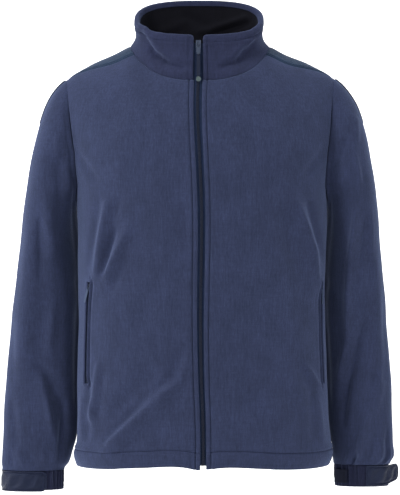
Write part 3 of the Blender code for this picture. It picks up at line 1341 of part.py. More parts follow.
def make_pocket_slider(side, label):
    """A pocket's slider and its shorter pull, which leans a little as it hangs."""
    matrix = pocket_frame(side)
    make_slider("pocket_slider_" + label, POCKET_SCALE, matrix)
    hinge = matrix @ Matrix.Translation(Vector((0.0, 0.0, PIVOT_LIFT * POCKET_SCALE)))
    hinge = hinge @ Matrix.Rotation(POCKET_LEAN[side] * side, 4, "Z")
    hinge = hinge @ Matrix.Rotation(-math.radians(1.5), 4, "X")
    make_pull("pocket_pull_" + label, POCKET_SCALE, 0.0290, hinge, "tab")


# ======================================================================================================
def main():
    clear_scene()
    for side, label in ((-1, "right"), (1, "left")):
        make_front(side, "front_" + label)
        make_shoulder_panel(side, "shoulder_panel_" + label)
        make_sleeve(side, "sleeve_" + label)
        make_sleeve_panel(side, "sleeve_panel_" + label)
        make_cuff(side, "cuff_" + label)
        make_cuff_tab(side, "cuff_tab_" + label)
        make_zip_tape(side, "zip_tape_" + label)
        make_pocket_zip(side, "pocket_zip_" + label)
        make_pocket_slider(side, label)
    make_back()
    make_collar_outer("collar_outer")
    make_collar_inner("collar_inner")
    make_cuff_patch(1, "cuff_patch_left")
    make_main_slider()


main()
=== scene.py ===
"""Looks of the fleece zip jacket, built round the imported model.

Metres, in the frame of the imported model: the origin is the middle of the neck opening, the front faces -Y
and the wearer's left is +X. "side" is +1 for the wearer's left, -1 for the right.

Each cloth piece is a fine shell on the same surface as its solid: rounded-square sections below the chest
line, arches over the shoulders above it, sections along the sleeves and a leaning collar. Creases, edge
rolls, stitched grooves and gathers are raised on that surface along its normals.
"""
import math

import bmesh
import bpy
import numpy as np
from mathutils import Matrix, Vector


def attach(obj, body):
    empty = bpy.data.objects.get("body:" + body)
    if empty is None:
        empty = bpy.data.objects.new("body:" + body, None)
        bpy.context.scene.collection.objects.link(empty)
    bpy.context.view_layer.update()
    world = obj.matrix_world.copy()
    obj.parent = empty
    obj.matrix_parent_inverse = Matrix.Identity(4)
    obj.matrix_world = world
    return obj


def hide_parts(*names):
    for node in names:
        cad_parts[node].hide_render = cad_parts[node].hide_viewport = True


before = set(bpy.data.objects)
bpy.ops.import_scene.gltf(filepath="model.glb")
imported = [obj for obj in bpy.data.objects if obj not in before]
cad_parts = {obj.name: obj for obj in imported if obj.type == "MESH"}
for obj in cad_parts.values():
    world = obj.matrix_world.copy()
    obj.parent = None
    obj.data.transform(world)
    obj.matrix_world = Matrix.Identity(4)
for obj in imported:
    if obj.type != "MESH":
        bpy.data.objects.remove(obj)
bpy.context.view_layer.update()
JACKET = "jacket"
TENTHS = 1e4  # tables divided by this are written in tenths of a millimetre

# ---- cloth ----
FLEECE = 0.0024  # thickness of one layer of fleece
WOVEN = 0.0012  # thickness of the smooth woven cloth
TAPE = 0.0010  # thickness of a zip tape
SEAM_GAP = 0.0003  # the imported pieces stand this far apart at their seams
HALF_SEAM = 0.00004  # the fine shells come this close to the seam line
HEM_TURN = 0.028  # depth of the turned hem
HEM_EXTRA = 0.0022  # the second layer of fleece in the hem

# ---- body ----
CHEST_Z = -0.24  # arches above this level, level sections below it
MIDDLE_Y = 0.010  # plane of the side seams and of the shoulder ridge
ROUNDNESS = 2.3  # exponent of the body's rounded-square section
RIDGE_HALF_WIDTH = 0.250  # half-width that the arches open to at the ridge
ARCH_RUN = 0.265  # length given to an arch from the chest line to the ridge
FRONT_RUN = 0.270  # length of a section from the centre front to the side
METRIC = (FRONT_RUN, 1.0)  # metres in one unit of girth share and of level
TYPICAL_SECTION = (0.212, 0.132)  # half-width and depth by which places round a section are spaced
UNDERARM_Z = -0.27
HEM_Z = -0.7105

# columns: height, half-width on the wearer's right, half-width on the left, depth in front, depth behind
BODY_SECTIONS = np.array([
    (-7120, 2100, 2200, 1340, 1100), (-6980, 2144, 2260, 1360, 1120),
    (-6760, 2098, 2238, 1370, 1110), (-6400, 2090, 2200, 1370, 1100),
    (-5530, 2090, 2166, 1380, 1080), (-4320, 2067, 2120, 1390, 1080),
    (-3500, 2074, 2142, 1420, 1100), (-2860, 2090, 2160, 1440, 1140),
    (-2400, 2110, 2160, 1450, 1180)]) / TENTHS
# columns: distance from the middle, height of the shoulder ridge there on the right and on the left
RIDGE = np.array([
    (0, 220, 220), (500, 170, 170), (900, 70, 70), (1150, 3, 3), (1470, -160, -160),
    (1870, -350, -338), (2235, -562, -540), (2450, -760, -730)]) / TENTHS

NECK_HALF_WIDTH = 0.1195
NECK_FRONT_DROP = math.radians(48)  # how far down the front arch the neckline reaches
NECK_BACK_DROP = math.radians(19)
NECK_ROUNDNESS = 2.5
NECK_FRONT_Z = -0.066

# columns: angle round the armhole from its top, depth share on the front edge, and on the back edge
ARMHOLE = np.array([(0, 0.515, 0.515), (45, 0.475, 0.520), (90, 0.390, 0.510), (135, 0.270, 0.360),
                    (160, 0.140, 0.190), (180, 0.0, 0.0)])

# columns: distance from the middle, arch angle from the ridge in degrees, along each shoulder seam
FRONT_SHOULDER_SEAM = np.array([(0.147, 23.6), (0.170, 20.8), (0.193, 15.0)])
BACK_SHOULDER_SEAM = np.array([(0.120, 17.5), (0.150, 20.5), (0.190, 24.0)])
FRONT_SEAM_NECK = math.radians(24)  # arch angle where the front shoulder seam meets the neckline
BACK_SEAM_NECK = math.radians(14.2)
FRONT_SEAM_ARMHOLE = math.radians(8)  # armhole angle where it ends
BACK_SEAM_ARMHOLE = math.radians(35)

# columns: height of the hem along the front and back, by distance to the wearer's left of the middle
HEM_LINE = np.array([
    (-2150, -7138), (-1750, -7134), (-1000, -7090), (-220, -7080), (-40, -7110), (100, -7100),
    (450, -7078), (1250, -7122), (1850, -7136), (2260, -7124)]) / TENTHS

# ---- zips ----
# columns: height, place of the zip's middle to the left of the body's middle
ZIP_LINE = np.array([
    (-7200, 52), (-6400, 50), (-5600, 22), (-4700, 8), (-4000, 14), (-3400, 25), (-2700, 23),
    (-2000, -6), (-1100, -40), (-600, -29), (200, -29)]) / TENTHS
# columns: height, gap between the front edges
ZIP_GAPS = np.array([
    (-7200, 98), (-6000, 102), (-4200, 122), (-2000, 134), (200, 148)]) / TENTHS
COLLAR_ZIP_GAP = 0.0166
ZIP_TAPE_WIDTH = 0.0145
ZIP_BOTTOM_Z = -0.7040
TAPE_BEHIND = 0.0011  # a zip tape lies this far behind the fleece
POCKET_TAPE_BEHIND = 0.0009  # a pocket's tape lies this far behind the front's inner side
POCKET_TOP_Z = -0.402
POCKET_BOTTOM_Z = -0.572
POCKET_SLIT = 0.0076
TOOTH_PITCH = 0.0015
# columns: height, place of the slit between the centre front and the side seam
POCKET_LINE = {
    -1: np.array([(-0.572, 0.763), (-0.505, 0.764), (-0.436, 0.757), (-0.418, 0.744), (-0.402, 0.731)]),
    1: np.array([(-0.572, 0.829), (-0.505, 0.828), (-0.402, 0.829)])}

# ---- collar ----
COLLAR_HALF_WIDTH = {-1: 0.1115, 1: 0.1085}  # of the rim's outer edge, right and left
COLLAR_MIDDLE_Y = -0.017
COLLAR_HALF_DEPTH = 0.075
COLLAR_SIDE_Z = 0.0622  # height of the rim above the middle of the neck
COLLAR_SLOPE = 0.473  # rise of the rim towards the back
COLLAR_ROLL = 0.0046  # outer radius of the rolled edge
COLLAR_LIP = 0.0060  # the roll comes down this far inside
COLLAR_CORNER = 0.0090  # radius of the front corners
COLLAR_LEAN = {-1: 1.00, 1: 1.50}  # how far the foot of the collar leans in from the shoulder
COLLAR_ABOVE_NECK = np.array([0.0, 0.0, 0.00006])
FACING_IN = 0.0042  # the facing lies this far inside the outer collar at the neckline

# ---- sleeves ----
CAP_END_Z = -0.33  # the sleeve head ends here, and level sections follow
SLEEVE_ROUNDNESS = 2.2
SLEEVE_RADIUS = 0.060  # turns degrees round the sleeve into metres for its folds
SLEEVE_CORE = (0.262, 0.035, -0.16)  # a line inside the sleeve: out, back, and its top
# columns: height, outer reach on the right, on the left, inner reach past the body's side on the right,
# on the left, middle depth, half-depth
SLEEVE_SECTIONS = np.array([
    (-7220, 3370, 3230, 235, 80, 200, 340), (-7120, 3390, 3250, 152, 70, 230, 370),
    (-7000, 3388, 3312, 70, 10, 260, 400), (-6780, 3380, 3300, 50, 10, 300, 430),
    (-6400, 3362, 3290, -5, -5, 360, 470), (-5700, 3318, 3265, -32, -32, 450, 540),
    (-5000, 3258, 3222, -42, -42, 510, 630), (-4300, 3184, 3176, -42, -42, 530, 720),
    (-3800, 3128, 3120, -42, -42, 520, 790), (-3300, 3066, 3074, -30, -30, 500, 860)]) / TENTHS
SLEEVE_SHEAR = -0.12  # the front of each section is turned outwards
SLEEVE_END_Z = {-1: -0.7225, 1: -0.7125}
SLEEVE_TUCK = 0.012  # the sleeve's end turns in over this height
# columns: angle round the sleeve, direction in which it leaves the armhole: out, forward, down; its reach
CAP_LEAVES = np.array([
    (0, 0.848, 0.000, 0.530, 0.180), (45, 0.900, 0.200, 0.380, 0.150), (90, 0.930, 0.330, 0.150, 0.120),
    (135, 0.700, 0.050, 0.620, 0.080), (180, 0.300, -0.450, 0.840, 0.060),
    (225, 0.720, -0.420, 0.450, 0.090), (270, 0.930, -0.330, 0.150, 0.140),
    (315, 0.900, -0.220, 0.380, 0.160), (360, 0.848, 0.000, 0.530, 0.180)])
CAP_FULLNESS = {-1: 0.93, 1: 1.06}
# columns: angle round the sleeve, pull of the sleeve's own direction where the head ends
CAP_ENDS = np.array([(0, 0.520), (90, 0.170), (180, 0.050), (270, 0.170), (360, 0.520)])

# ---- cuffs ----
CUFF_HEIGHT = {-1: 0.0330, 1: 0.0370}
CUFF_WALL = FLEECE * 0.75
# columns per side: outer reach, inner reach, middle depth, half-depth
CUFF_RING = {-1: (0.3362, 0.2332, 0.020, 0.0310), 1: (0.3222, 0.2305, 0.020, 0.0310)}
CUFF_GATHERS = 34
GATHER_HEIGHT = 0.0022
GATHER_START = {-1: 124, 1: 92}  # degrees round the cuff where the gathers begin
GATHER_END = {-1: 318, 1: 352}
CUFF_STITCHES = (0.72, 0.36)  # rows of elastic stitching, as shares of the cuff's height
TAB_THICK = 0.0018
TAB_CLEARANCE = 0.0005  # between a tab and the cuff that it is sewn to
TAB_HEIGHT = 0.0345
TAB_ROUND = 0.011  # radius of the tab's end
TAB_END_X = 0.3400  # the left tab's free end stands off this far out

# ---- folds and creases ----
# Each row: start x, start z, end x, end z, half-width, height (ridges above zero, troughs below)
FRONT_FOLDS = np.array([
    (-1550, -6720, -460, -5720, 130, 62), (-1720, -6520, -850, -5600, 200, -81),
    (-1720, -5900, -1860, -6220, 90, 41), (-1540, -2720, -1720, -3920, 105, 50),
    (-1200, -3120, -1560, -3920, 100, 46), (-1440, -3120, -1630, -3840, 80, -36),
    (1600, -2700, 1880, -3480, 130, 57), (1880, -3480, 1920, -4120, 120, 49),
    (1400, -3000, 1660, -3800, 160, -54), (600, -6200, 1200, -5600, 260, -49),
    (-340, -6700, -290, -7050, 60, -14), (380, -6720, 340, -7050, 60, -14),
    (-2060, -1860, -1760, -2280, 65, -34), (-1280, -6500, -1040, -6220, 60, -20),
    (-1040, -6180, -660, -5900, 70, -26), (-1640, -6900, -1200, -6620, 80, 22),
    (-1544, -2718, -1710, -3847, 52, 42), (-1212, -3216, -1544, -3913, 50, 44),
    (-1428, -3183, -1610, -3813, 50, -50), (-1228, -3614, -1477, -4145, 80, -36),
    (-1328, -2651, -1494, -3083, 60, -26), (-1685, -2718, -1826, -3681, 60, -26),
    (-1693, -5424, -1760, -5872, 50, 46), (-1776, -6005, -1859, -6303, 50, 36),
    (-1984, -6005, -2000, -6569, 50, 34), (-1859, -5706, -1917, -6635, 56, -40),
    (-1643, -5673, -1726, -6303, 70, -26), (-1494, -6685, -797, -6021, 42, 50),
    (-1594, -6635, -896, -5922, 60, -66), (-697, -5938, -365, -5689, 46, 48),
    (-315, -5639, -183, -5241, 54, 34), (-797, -5839, -465, -5573, 62, -40),
    (-465, -5507, -299, -5141, 80, -34), (-1162, -6702, -398, -6005, 90, -26),
    (-266, -2784, -249, -3481, 55, -22), (-1162, -1323, -1361, -2153, 200, 22),
    (-664, -2485, -564, -3647, 220, 22), (-830, -4311, -996, -5141, 240, -26),
    (-199, -4311, -232, -5141, 80, 12), (-216, -6885, -216, -7067, 28, 16),
    (-282, -6901, -274, -7034, 26, 14), (-149, -6868, -141, -7084, 24, -18),
    (-1328, -6901, -1295, -7034, 60, 10), (-830, -6901, -797, -7050, 60, -12),
    (232, -6885, 232, -7067, 28, 15), (315, -6901, 299, -7050, 28, 13),
    (158, -6868, 149, -7084, 22, -15), (830, -6901, 863, -7050, 70, 10),
    (1411, -6901, 1461, -7034, 70, -12), (1594, -2718, 1793, -3216, 46, 44),
    (1809, -3315, 1926, -3780, 44, 48), (1926, -3847, 1975, -4079, 40, 30),
    (1809, -2751, 2042, -3581, 66, -60), (1768, -5424, 1984, -5747, 50, 46),
    (1677, -5507, 1859, -5839, 70, -26), (1959, -5971, 2058, -6635, 60, 28),
    (1859, -5938, 1892, -6635, 80, -28), (2060, -1800, 1800, -2160, 70, -30),
    (531, -5639, 1029, -6370, 110, -26), (365, -5905, 764, -6503, 100, 18),
    (1195, -5573, 1660, -6303, 120, -24), (1428, -4311, 1660, -4975, 160, 20),
    (664, -2485, 598, -3813, 220, 20), (1162, -1157, 1361, -2153, 220, 20),
    (1029, -4311, 930, -5307, 240, -24)]) / TENTHS
BACK_FOLDS = np.array([
    (-1500, -6400, -400, -5600, 180, 62), (1450, -6500, 600, -5750, 180, 59),
    (-1650, -3000, -1200, -4200, 180, -68), (1680, -2950, 1150, -4300, 180, -68),
    (-600, -4200, 500, -4400, 240, 49), (200, -4800, 1300, -5200, 220, -49),
    (-2050, -1900, -1500, -2500, 90, -44), (2050, -1900, 1520, -2460, 90, -44),
    (-1900, -2300, -1100, -3000, 120, 36), (1850, -2360, 1000, -3100, 120, 36),
    (-800, -1200, -400, -2000, 220, 26), (900, -1100, 500, -2100, 220, 26),
    (-1000, -4800, -100, -5000, 120, 38), (-900, -5050, 100, -5250, 110, -34),
    (100, -5600, 1100, -6000, 120, 36), (-1700, -5600, -900, -6100, 110, -34),
    (200, -6600, 800, -6900, 100, -22), (1700, -3300, 1200, -4200, 110, -30)]) / TENTHS
COLLAR_FOLDS = np.array([
    (-1040, 80, -740, -280, 60, -34), (-740, -280, -260, -410, 60, -22),
    (900, -160, 600, -420, 60, -30), (-970, 0, -620, -200, 60, 18),
    (-1000, 130, -840, -100, 50, -74), (-820, -140, -600, -320, 50, -74),
    (-560, -360, -280, -450, 50, -50), (-940, 0, -860, -120, 38, 34),
    (-900, 160, -740, -20, 40, 24), (870, -60, 660, -280, 50, -72),
    (620, -330, 360, -440, 50, -54), (880, 60, 800, -100, 38, 34), (780, 0, 580, -200, 42, 22),
    (-660, 300, -540, 40, 60, -14), (700, 280, 600, 40, 60, -14), (340, -340, 580, -240, 55, 18),
    (-460, -300, -240, -360, 55, 18)]) / TENTHS
FACING_FOLDS = np.array([
    (60, 260, 780, 480, 55, 52), (120, 180, 800, 380, 60, -40), (-800, 200, -300, 400, 80, 28),
    (-200, 520, 100, 360, 80, -26)]) / TENTHS
# Each row: start angle in degrees, start z, end angle, end z, half-width, height
SLEEVE_UNITS = np.array([1.0, TENTHS, 1.0, TENTHS, TENTHS, TENTHS])
SLEEVE_FOLDS = {
    -1: np.array([
        (88, -2620, 104, -3500, 105, 58), (126, -2700, 138, -4000, 160, -70),
        (86, -3150, 91, -3950, 110, -36), (92, -4250, 91, -5350, 150, -52),
        (96, -5550, 122, -6000, 140, -50), (128, -6220, 138, -6900, 140, -56),
        (94, -5750, 114, -6600, 90, 40), (280, -3000, 312, -3900, 150, -63),
        (300, -4700, 262, -5400, 150, 56), (250, -6000, 285, -6800, 140, -56),
        (99, -2500, 114, -3520, 75, 26), (84, -2620, 98, -3400, 70, -26),
        (84, -3000, 88, -3950, 55, -34), (126, -2250, 134, -4000, 150, 62),
        (134, -4100, 130, -5600, 150, 30), (162, -2150, 166, -4000, 130, -46),
        (166, -4100, 164, -6000, 130, -46), (93, -5480, 126, -6020, 60, -42),
        (132, -6120, 134, -6800, 60, -34), (83, -1500, 93, -1700, 40, -40),
        (78, -1600, 90, -1860, 45, 26), (96, -2000, 112, -2500, 70, -30),
        (94, -5600, 114, -6550, 46, 38), (62, -3300, 60, -5200, 150, 26),
        (108, -4400, 104, -5200, 80, 30), (48, -6100, 62, -6800, 90, -30),
        (66, -6900, 78, -7120, 45, 26), (84, -6920, 96, -7120, 45, -26),
        (104, -6900, 112, -7120, 45, 26), (52, -6970, 56, -7140, 45, -24),
        (120, -6400, 126, -7000, 55, 30), (30, -4800, 44, -5600, 140, -26),
        (240, -4200, 290, -4700, 90, -40), (310, -5600, 275, -6400, 100, 34),
        (335, -3000, 330, -4200, 140, 28), (225, -3000, 262, -3500, 80, -38),
        (290, -5200, 250, -5800, 85, -34)]) / SLEEVE_UNITS,
    1: np.array([
        (77, -1870, 94, -2700, 100, 56), (98, -2920, 106, -3580, 105, 56),
        (107, -3780, 111, -4800, 110, 56), (114, -5000, 130, -5650, 110, 42),
        (128, -2250, 137, -4200, 160, -70), (72, -3000, 76, -4000, 120, -40),
        (85, -4920, 104, -5480, 150, -56), (110, -5660, 127, -6020, 140, -60),
        (60, -5800, 88, -6480, 105, 60), (94, -6660, 106, -6980, 80, 46),
        (278, -3100, 308, -4000, 150, -63), (262, -5000, 296, -5600, 150, 56),
        (292, -6100, 255, -6900, 140, -56), (114, -2090, 84, -1680, 52, -60),
        (100, -2000, 113, -2360, 55, 36), (44, -1300, 70, -1720, 75, 40),
        (64, -1040, 74, -1400, 50, -30), (77, -1870, 80, -2300, 45, 26),
        (96, -2780, 107, -3620, 48, 52), (108, -3780, 111, -4920, 52, 50),
        (126, -2250, 134, -4000, 150, 54), (162, -2150, 166, -4000, 130, -46),
        (166, -4100, 164, -6000, 130, -46), (113, -5050, 130, -5600, 50, 36),
        (84, -3000, 92, -4000, 62, -30), (84, -4700, 108, -5560, 56, -50),
        (112, -5660, 128, -6400, 56, -44), (58, -5560, 90, -6400, 52, 38),
        (92, -6500, 106, -6940, 46, 44), (72, -5700, 80, -6400, 75, -34),
        (64, -2900, 66, -3600, 80, 26), (56, -3800, 58, -5200, 150, 24),
        (108, -6960, 113, -7160, 40, -70), (102, -6900, 108, -7160, 36, 42),
        (76, -6720, 86, -7060, 56, -46), (62, -6760, 68, -7080, 55, 36),
        (46, -6600, 52, -7060, 65, -34), (40, -6900, 44, -7100, 45, 28),
        (124, -6900, 128, -7120, 45, 30), (36, -4400, 44, -5600, 140, -24),
        (236, -4300, 286, -4800, 90, -40), (312, -5500, 272, -6200, 100, 34),
        (338, -3100, 330, -4300, 140, 28), (228, -3100, 264, -3600, 80, -38),
        (286, -5100, 246, -5700, 85, -34)]) / SLEEVE_UNITS}

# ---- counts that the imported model's panels share at their seams ----
FRONT_COLUMNS = 10  # from the centre front to the pocket slit
SIDE_COLUMNS = 3  # from the slit to the side seam
SEAM_COLUMNS = 6  # columns that end on a shoulder seam
NECK_COLUMNS = FRONT_COLUMNS + 1 + SIDE_COLUMNS - SEAM_COLUMNS
CHEST_ROWS = 9
SHOULDER_ROWS = 6
BACK_HALF = 10
WIDE_SLIT = 0.020  # width of the slit's column where there is no slit
CAP_ROWS = 8
PANEL_ROWS = (0.25, 3.7)  # first and last row of the sleeve that the woven panel covers
PANEL_BACK_COLUMNS = 2
PANEL_TAPER = 0.45
PANEL_CLEARANCE = 0.0006

# ---- stitched grooves: distance from the edge, depth, half-width, height of the puffs beside it ----
ZIP_GROOVE = (0.0078, 0.0022, 0.0011, 0.0011)
HEM_GROOVE = (HEM_TURN, 0.0011, 0.0013, 0.0014)
WELT_GROOVE = (0.0070, 0.0024, 0.0018, 0.0012)
SHOULDER_GROOVE = (0.0035, 0.0006, 0.0008, 0.0003)
SLEEVE_PANEL_GROOVE = (0.0035, 0.0005, 0.0009, 0.0002)
TAB_GROOVE = (0.0034, 0.0010, 0.0009, 0.0004)
RIM_GROOVE = (0.0125, 0.0012, 0.0015, 0.0008)
COLLAR_ZIP_GROOVE = (ZIP_GROOVE[0], 0.0018, 0.0011, 0.0010)
THREAD = 0.00042  # radius of the thread
PITCH = 0.0034  # of the stitches on fleece
FINE_PITCH = 0.0026  # and on woven cloth

# ---- steps of the fine grids ----
STEP = 0.0046
EDGE_STEPS = np.array([0.0, 0.0004, 0.0010, 0.0018, 0.0032])
GROOVE_STEPS = np.array([-0.0034, -0.0020, -0.0009, 0.0, 0.0009, 0.0020, 0.0034])
FINE_STEP = 0.004  # on the woven panels
FRONT_LENGTH = 0.215  # lengths over which shares are spread: from the zip to the pocket slit,
SIDE_LENGTH = 0.048  # from the slit to the side seam,
CHEST_LENGTH = 0.235  # from the underarm to the neck,
SHOULDER_LENGTH = 0.135  # along a shoulder seam,
SHOULDER_DEPTH = 0.100  # from the front shoulder seam to the back one,
CAP_LENGTH = 0.280  # down the sleeve head,
PANEL_LENGTH = 0.150  # round the sleeve-head panel
PANEL_DEPTH = 0.120  # and down it
SLEEVE_COLUMNS = 156


# ==== small tools ====
def hermite(t, start, leave, end, arrive):
    """Cubic curve from start to end, leaving and arriving in the given directions."""
    return ((2 * t**3 - 3 * t**2 + 1) * start + (t**3 - 2 * t**2 + t) * leave
            + (3 * t**2 - 2 * t**3) * end + (t**3 - t**2) * arrive)


def smooth_table(x, table, column=1):
    """Value at x of a cubic curve through a short table's rows, whose first column rises."""
    knots, values = table[:, 0], table[:, column]
    slopes = np.gradient(values, knots)
    x = np.clip(np.asarray(x, float), knots[0], knots[-1])
    row = np.clip(np.searchsorted(knots, x, side="right") - 1, 0, len(knots) - 2)
    width = knots[row + 1] - knots[row]
    return hermite((x - knots[row]) / width, values[row], width * slopes[row], values[row + 1],
                   width * slopes[row + 1])


def smoothstep(low, high, x):
    """0 below low, 1 above high, and an even rise between."""
    t = np.clip((np.asarray(x, float) - low) / (high - low), 0.0, 1.0)
    return t * t * (3 - 2 * t)


def signed_power(value, exponent):
    return np.sign(value) * np.abs(value) ** exponent


def unit(vectors):
    """Vectors along the last axis, at length 1."""
    length = np.linalg.norm(vectors, axis=-1, keepdims=True)
    return vectors / np.maximum(length, 1e-12)


def ridge(distance, at, width, height):
    """A soft ridge along the line where the distance is at."""
    return height * np.exp(-((distance - at) / width) ** 2)


def stacked(*parts):
    """The parts, spread to one shape, as the last axis."""
    return np.stack(np.broadcast_arrays(*parts), axis=-1)


def travelled(path, scale=1.0):
    """Distance along a path up to each of its points."""
    steps = np.linalg.norm(np.diff(path, axis=0) * scale, axis=1)
    return np.concatenate([[0.0], np.cumsum(steps)])


def at_marks(where, marks, rows):
    """Points between the rows, which lie at the given marks."""
    return stacked(*(np.interp(where, marks, column) for column in rows.T))


def resample(path, shares, scale=1.0):
    """Points at the given shares of a path's length."""
    marks = travelled(path, scale)
    return at_marks(shares, marks / marks[-1], path)


def fold_height(u, v, folds):
    """Sum of soft ridges and troughs, each along its own short line, fading at both ends."""
    height = np.zeros_like(u, float)
    for u0, v0, u1, v1, width, rise in folds:
        along_u, along_v = u1 - u0, v1 - v0
        length = math.hypot(along_u, along_v)
        share = ((u - u0) * along_u + (v - v0) * along_v) / length**2
        across = ((u - u0) * along_v - (v - v0) * along_u) / length
        past = np.maximum(np.maximum(-share, share - 1.0), 0.0) * length
        bell = np.exp(-(across / width) ** 2 - (past / (1.2 * width)) ** 2)
        swell = 0.70 + 0.30 * np.sin(math.pi * np.clip(share, 0.0, 1.0))
        height += rise * bell * swell
    return height


# ==== the body's surface ====
QUARTER = np.linspace(0.0, math.pi / 2, 2001)
GIRTH_P = np.sin(QUARTER) ** (2 / ROUNDNESS)  # the rounded-square section, from the middle to the side
GIRTH_Q = np.cos(QUARTER) ** (2 / ROUNDNESS)
GIRTH_SHARE = travelled(stacked(GIRTH_P, GIRTH_Q), TYPICAL_SECTION)
GIRTH_SHARE /= GIRTH_SHARE[-1]


def girth_to_pq(girth):
    """Share 0 is the middle, 1 the side; a little past either end mirrors."""
    past_middle = np.sign(girth) + (girth == 0)
    share = np.abs(girth)
    past_side = np.where(share > 1.0, -1.0, 1.0)
    share = np.where(share > 1.0, 2.0 - share, share)
    p = past_middle * np.interp(share, GIRTH_SHARE, GIRTH_P)
    return p, past_side * np.interp(share, GIRTH_SHARE, GIRTH_Q)


def p_to_girth(p):
    return np.sign(p) * np.interp(np.abs(p), GIRTH_P, GIRTH_SHARE)


def depth_of(p):
    return np.maximum(1.0 - np.abs(np.clip(p, -1, 1)) ** ROUNDNESS, 0.0) ** (1 / ROUNDNESS)


def half_width(side, z):
    return smooth_table(z, BODY_SECTIONS, 1 if side < 0 else 2)


def depth(face, z):
    return smooth_table(z, BODY_SECTIONS, 3 if face == "front" else 4)


def ridge_z(side, x):
    return smooth_table(np.abs(x), RIDGE, 1 if side < 0 else 2)


def arch_half_width(side, rise):
    chest = half_width(side, CHEST_Z)
    return chest + (RIDGE_HALF_WIDTH - chest) * rise


def arch_point(side, p, q, tilt):
    """Point on the arches. tilt is the angle from the ridge, negative in front."""
    rise = np.cos(tilt)
    x = p * arch_half_width(side, rise)
    z = CHEST_Z + (ridge_z(side, x) - CHEST_Z) * rise
    reach = np.where(tilt < 0, depth("front", CHEST_Z), depth("back", CHEST_Z))
    return stacked(side * x, MIDDLE_Y + reach * q * np.sin(tilt), z)


def body_point(side, face, girth, level):
    """Point on the bare body. level is the height over the chest line, and above it runs up the arch."""
    forward = -1.0 if face == "front" else 1.0
    p, q = girth_to_pq(girth)
    z = CHEST_Z + np.minimum(level, 0.0)
    low = stacked(side * p * half_width(side, z), MIDDLE_Y + forward * q * depth(face, z), z)
    tilt = forward * (math.pi / 2) * (1.0 - np.maximum(level, 0.0) / ARCH_RUN)
    return np.where((level > 0)[..., None], arch_point(side, p, q, tilt), low)


def unevenness(points, height=0.0005):
    """The soft unevenness of hanging fleece."""
    x, y, z = np.moveaxis(points, -1, 0)
    broad = np.sin(31 * x + 17 * z + 9 * y + 1.3) + 0.8 * np.sin(-23 * x + 41 * z + 5 * y + 0.4)
    fine = 0.55 * np.sin(67 * x + 29 * z + 31 * y + 2.1) + 0.45 * np.sin(-71 * x + 83 * z + 4.0)
    return height * (broad + fine)


def body_folds(points):
    """Height of the folds and creases at points of the bare body."""
    x, y, z = np.moveaxis(points, -1, 0)
    in_front = smoothstep(MIDDLE_Y + 0.012, MIDDLE_Y - 0.030, y)
    behind = smoothstep(MIDDLE_Y - 0.012, MIDDLE_Y + 0.030, y)
    return (in_front * fold_height(x, z, FRONT_FOLDS) + behind * fold_height(x, z, BACK_FOLDS)
            + unevenness(points))


def chart_normals(chart, u, v, middle, step=2e-4):
    """Unit normals of chart(u, v), pointing away from the middle line."""
    along_u = chart(u + step, v) - chart(u - step, v)
    along_v = chart(u, v + step) - chart(u, v - step)
    normals = unit(np.cross(along_u, along_v))
    points = chart(u, v)
    return normals * np.sign(np.sum(normals * (points - middle(points)), axis=-1).mean())


def body_middle(points):
    """A line inside the body, level with each point or below it."""
    return stacked(points[..., 0] * 0.5, MIDDLE_Y, np.minimum(points[..., 2], CHEST_Z))


def folded(chart, folds, middle):
    """The chart with its folds raised along its own normals."""
    def raised(u, v):
        points = chart(u, v)
        return points + chart_normals(chart, u, v, middle) * folds(points)[..., None]
    return raised


def body_chart(side, face):
    """Surface of one quarter of the body, by girth share and level, folds included."""
    def bare(girth, level):
        return body_point(side, face, girth, level)
    return folded(bare, body_folds, body_middle)


def shoulder_chart(side):
    """Surface over a shoulder, by distance from the middle and arch angle from the ridge."""
    def bare(x, tilt):
        p = x / arch_half_width(side, np.cos(tilt))
        return arch_point(side, p, depth_of(p), tilt)
    return folded(bare, body_folds, body_middle)


def neck_ring(angle):
    """Neckline by distance from the middle and arch angle, from 0 at the front to pi at the back."""
    x = NECK_HALF_WIDTH * signed_power(np.sin(angle), 2 / NECK_ROUNDNESS)
    drop = np.abs(np.cos(angle)) ** (2 / NECK_ROUNDNESS)
    return x, np.where(np.cos(angle) > 0, -NECK_FRONT_DROP, NECK_BACK_DROP) * drop


def armhole_place(side, angle):
    """p and arch angle round the armhole, 0 at its top, positive down the front edge."""
    turn = np.degrees(np.abs(angle))
    q = np.where(angle >= 0, smooth_table(turn, ARMHOLE, 1), smooth_table(turn, ARMHOLE, 2))
    p = np.maximum(1.0 - np.maximum(q, 0.0) ** ROUNDNESS, 0.0) ** (1 / ROUNDNESS)
    top_z = ridge_z(side, RIDGE_HALF_WIDTH * (1.0 - ARMHOLE[0, 1] ** ROUNDNESS) ** (1 / ROUNDNESS))
    middle_z = (top_z + UNDERARM_Z) / 2
    z = middle_z + (top_z - middle_z) * np.cos(angle)
    rise = np.zeros_like(z)
    for _ in range(6):
        x = p * arch_half_width(side, rise)
        rise = np.clip((z - CHEST_Z) / (ridge_z(side, x) - CHEST_Z), 0.0, 1.0)
    return p, z, rise


def armhole_girth(side, angle):
    """Girth share and level round the armhole."""
    p, z, rise = armhole_place(side, angle)
    level = np.where(z > CHEST_Z, ARCH_RUN * (1 - np.arccos(rise) / (math.pi / 2)), z - CHEST_Z)
    return stacked(p_to_girth(p), level)


def armhole_arch(side, angle):
    """Distance from the middle and arch angle round the armhole's top."""
    p, _, rise = armhole_place(side, angle)
    return stacked(p * arch_half_width(side, rise), -np.sign(angle) * np.arccos(rise))


def arch_to_girth(side, places):
    """Change distance and arch angle into girth share and level."""
    x, tilt = places[:, 0], places[:, 1]
    p = x / arch_half_width(side, np.cos(tilt))
    return stacked(p_to_girth(p), ARCH_RUN * (1 - np.abs(tilt) / (math.pi / 2)))


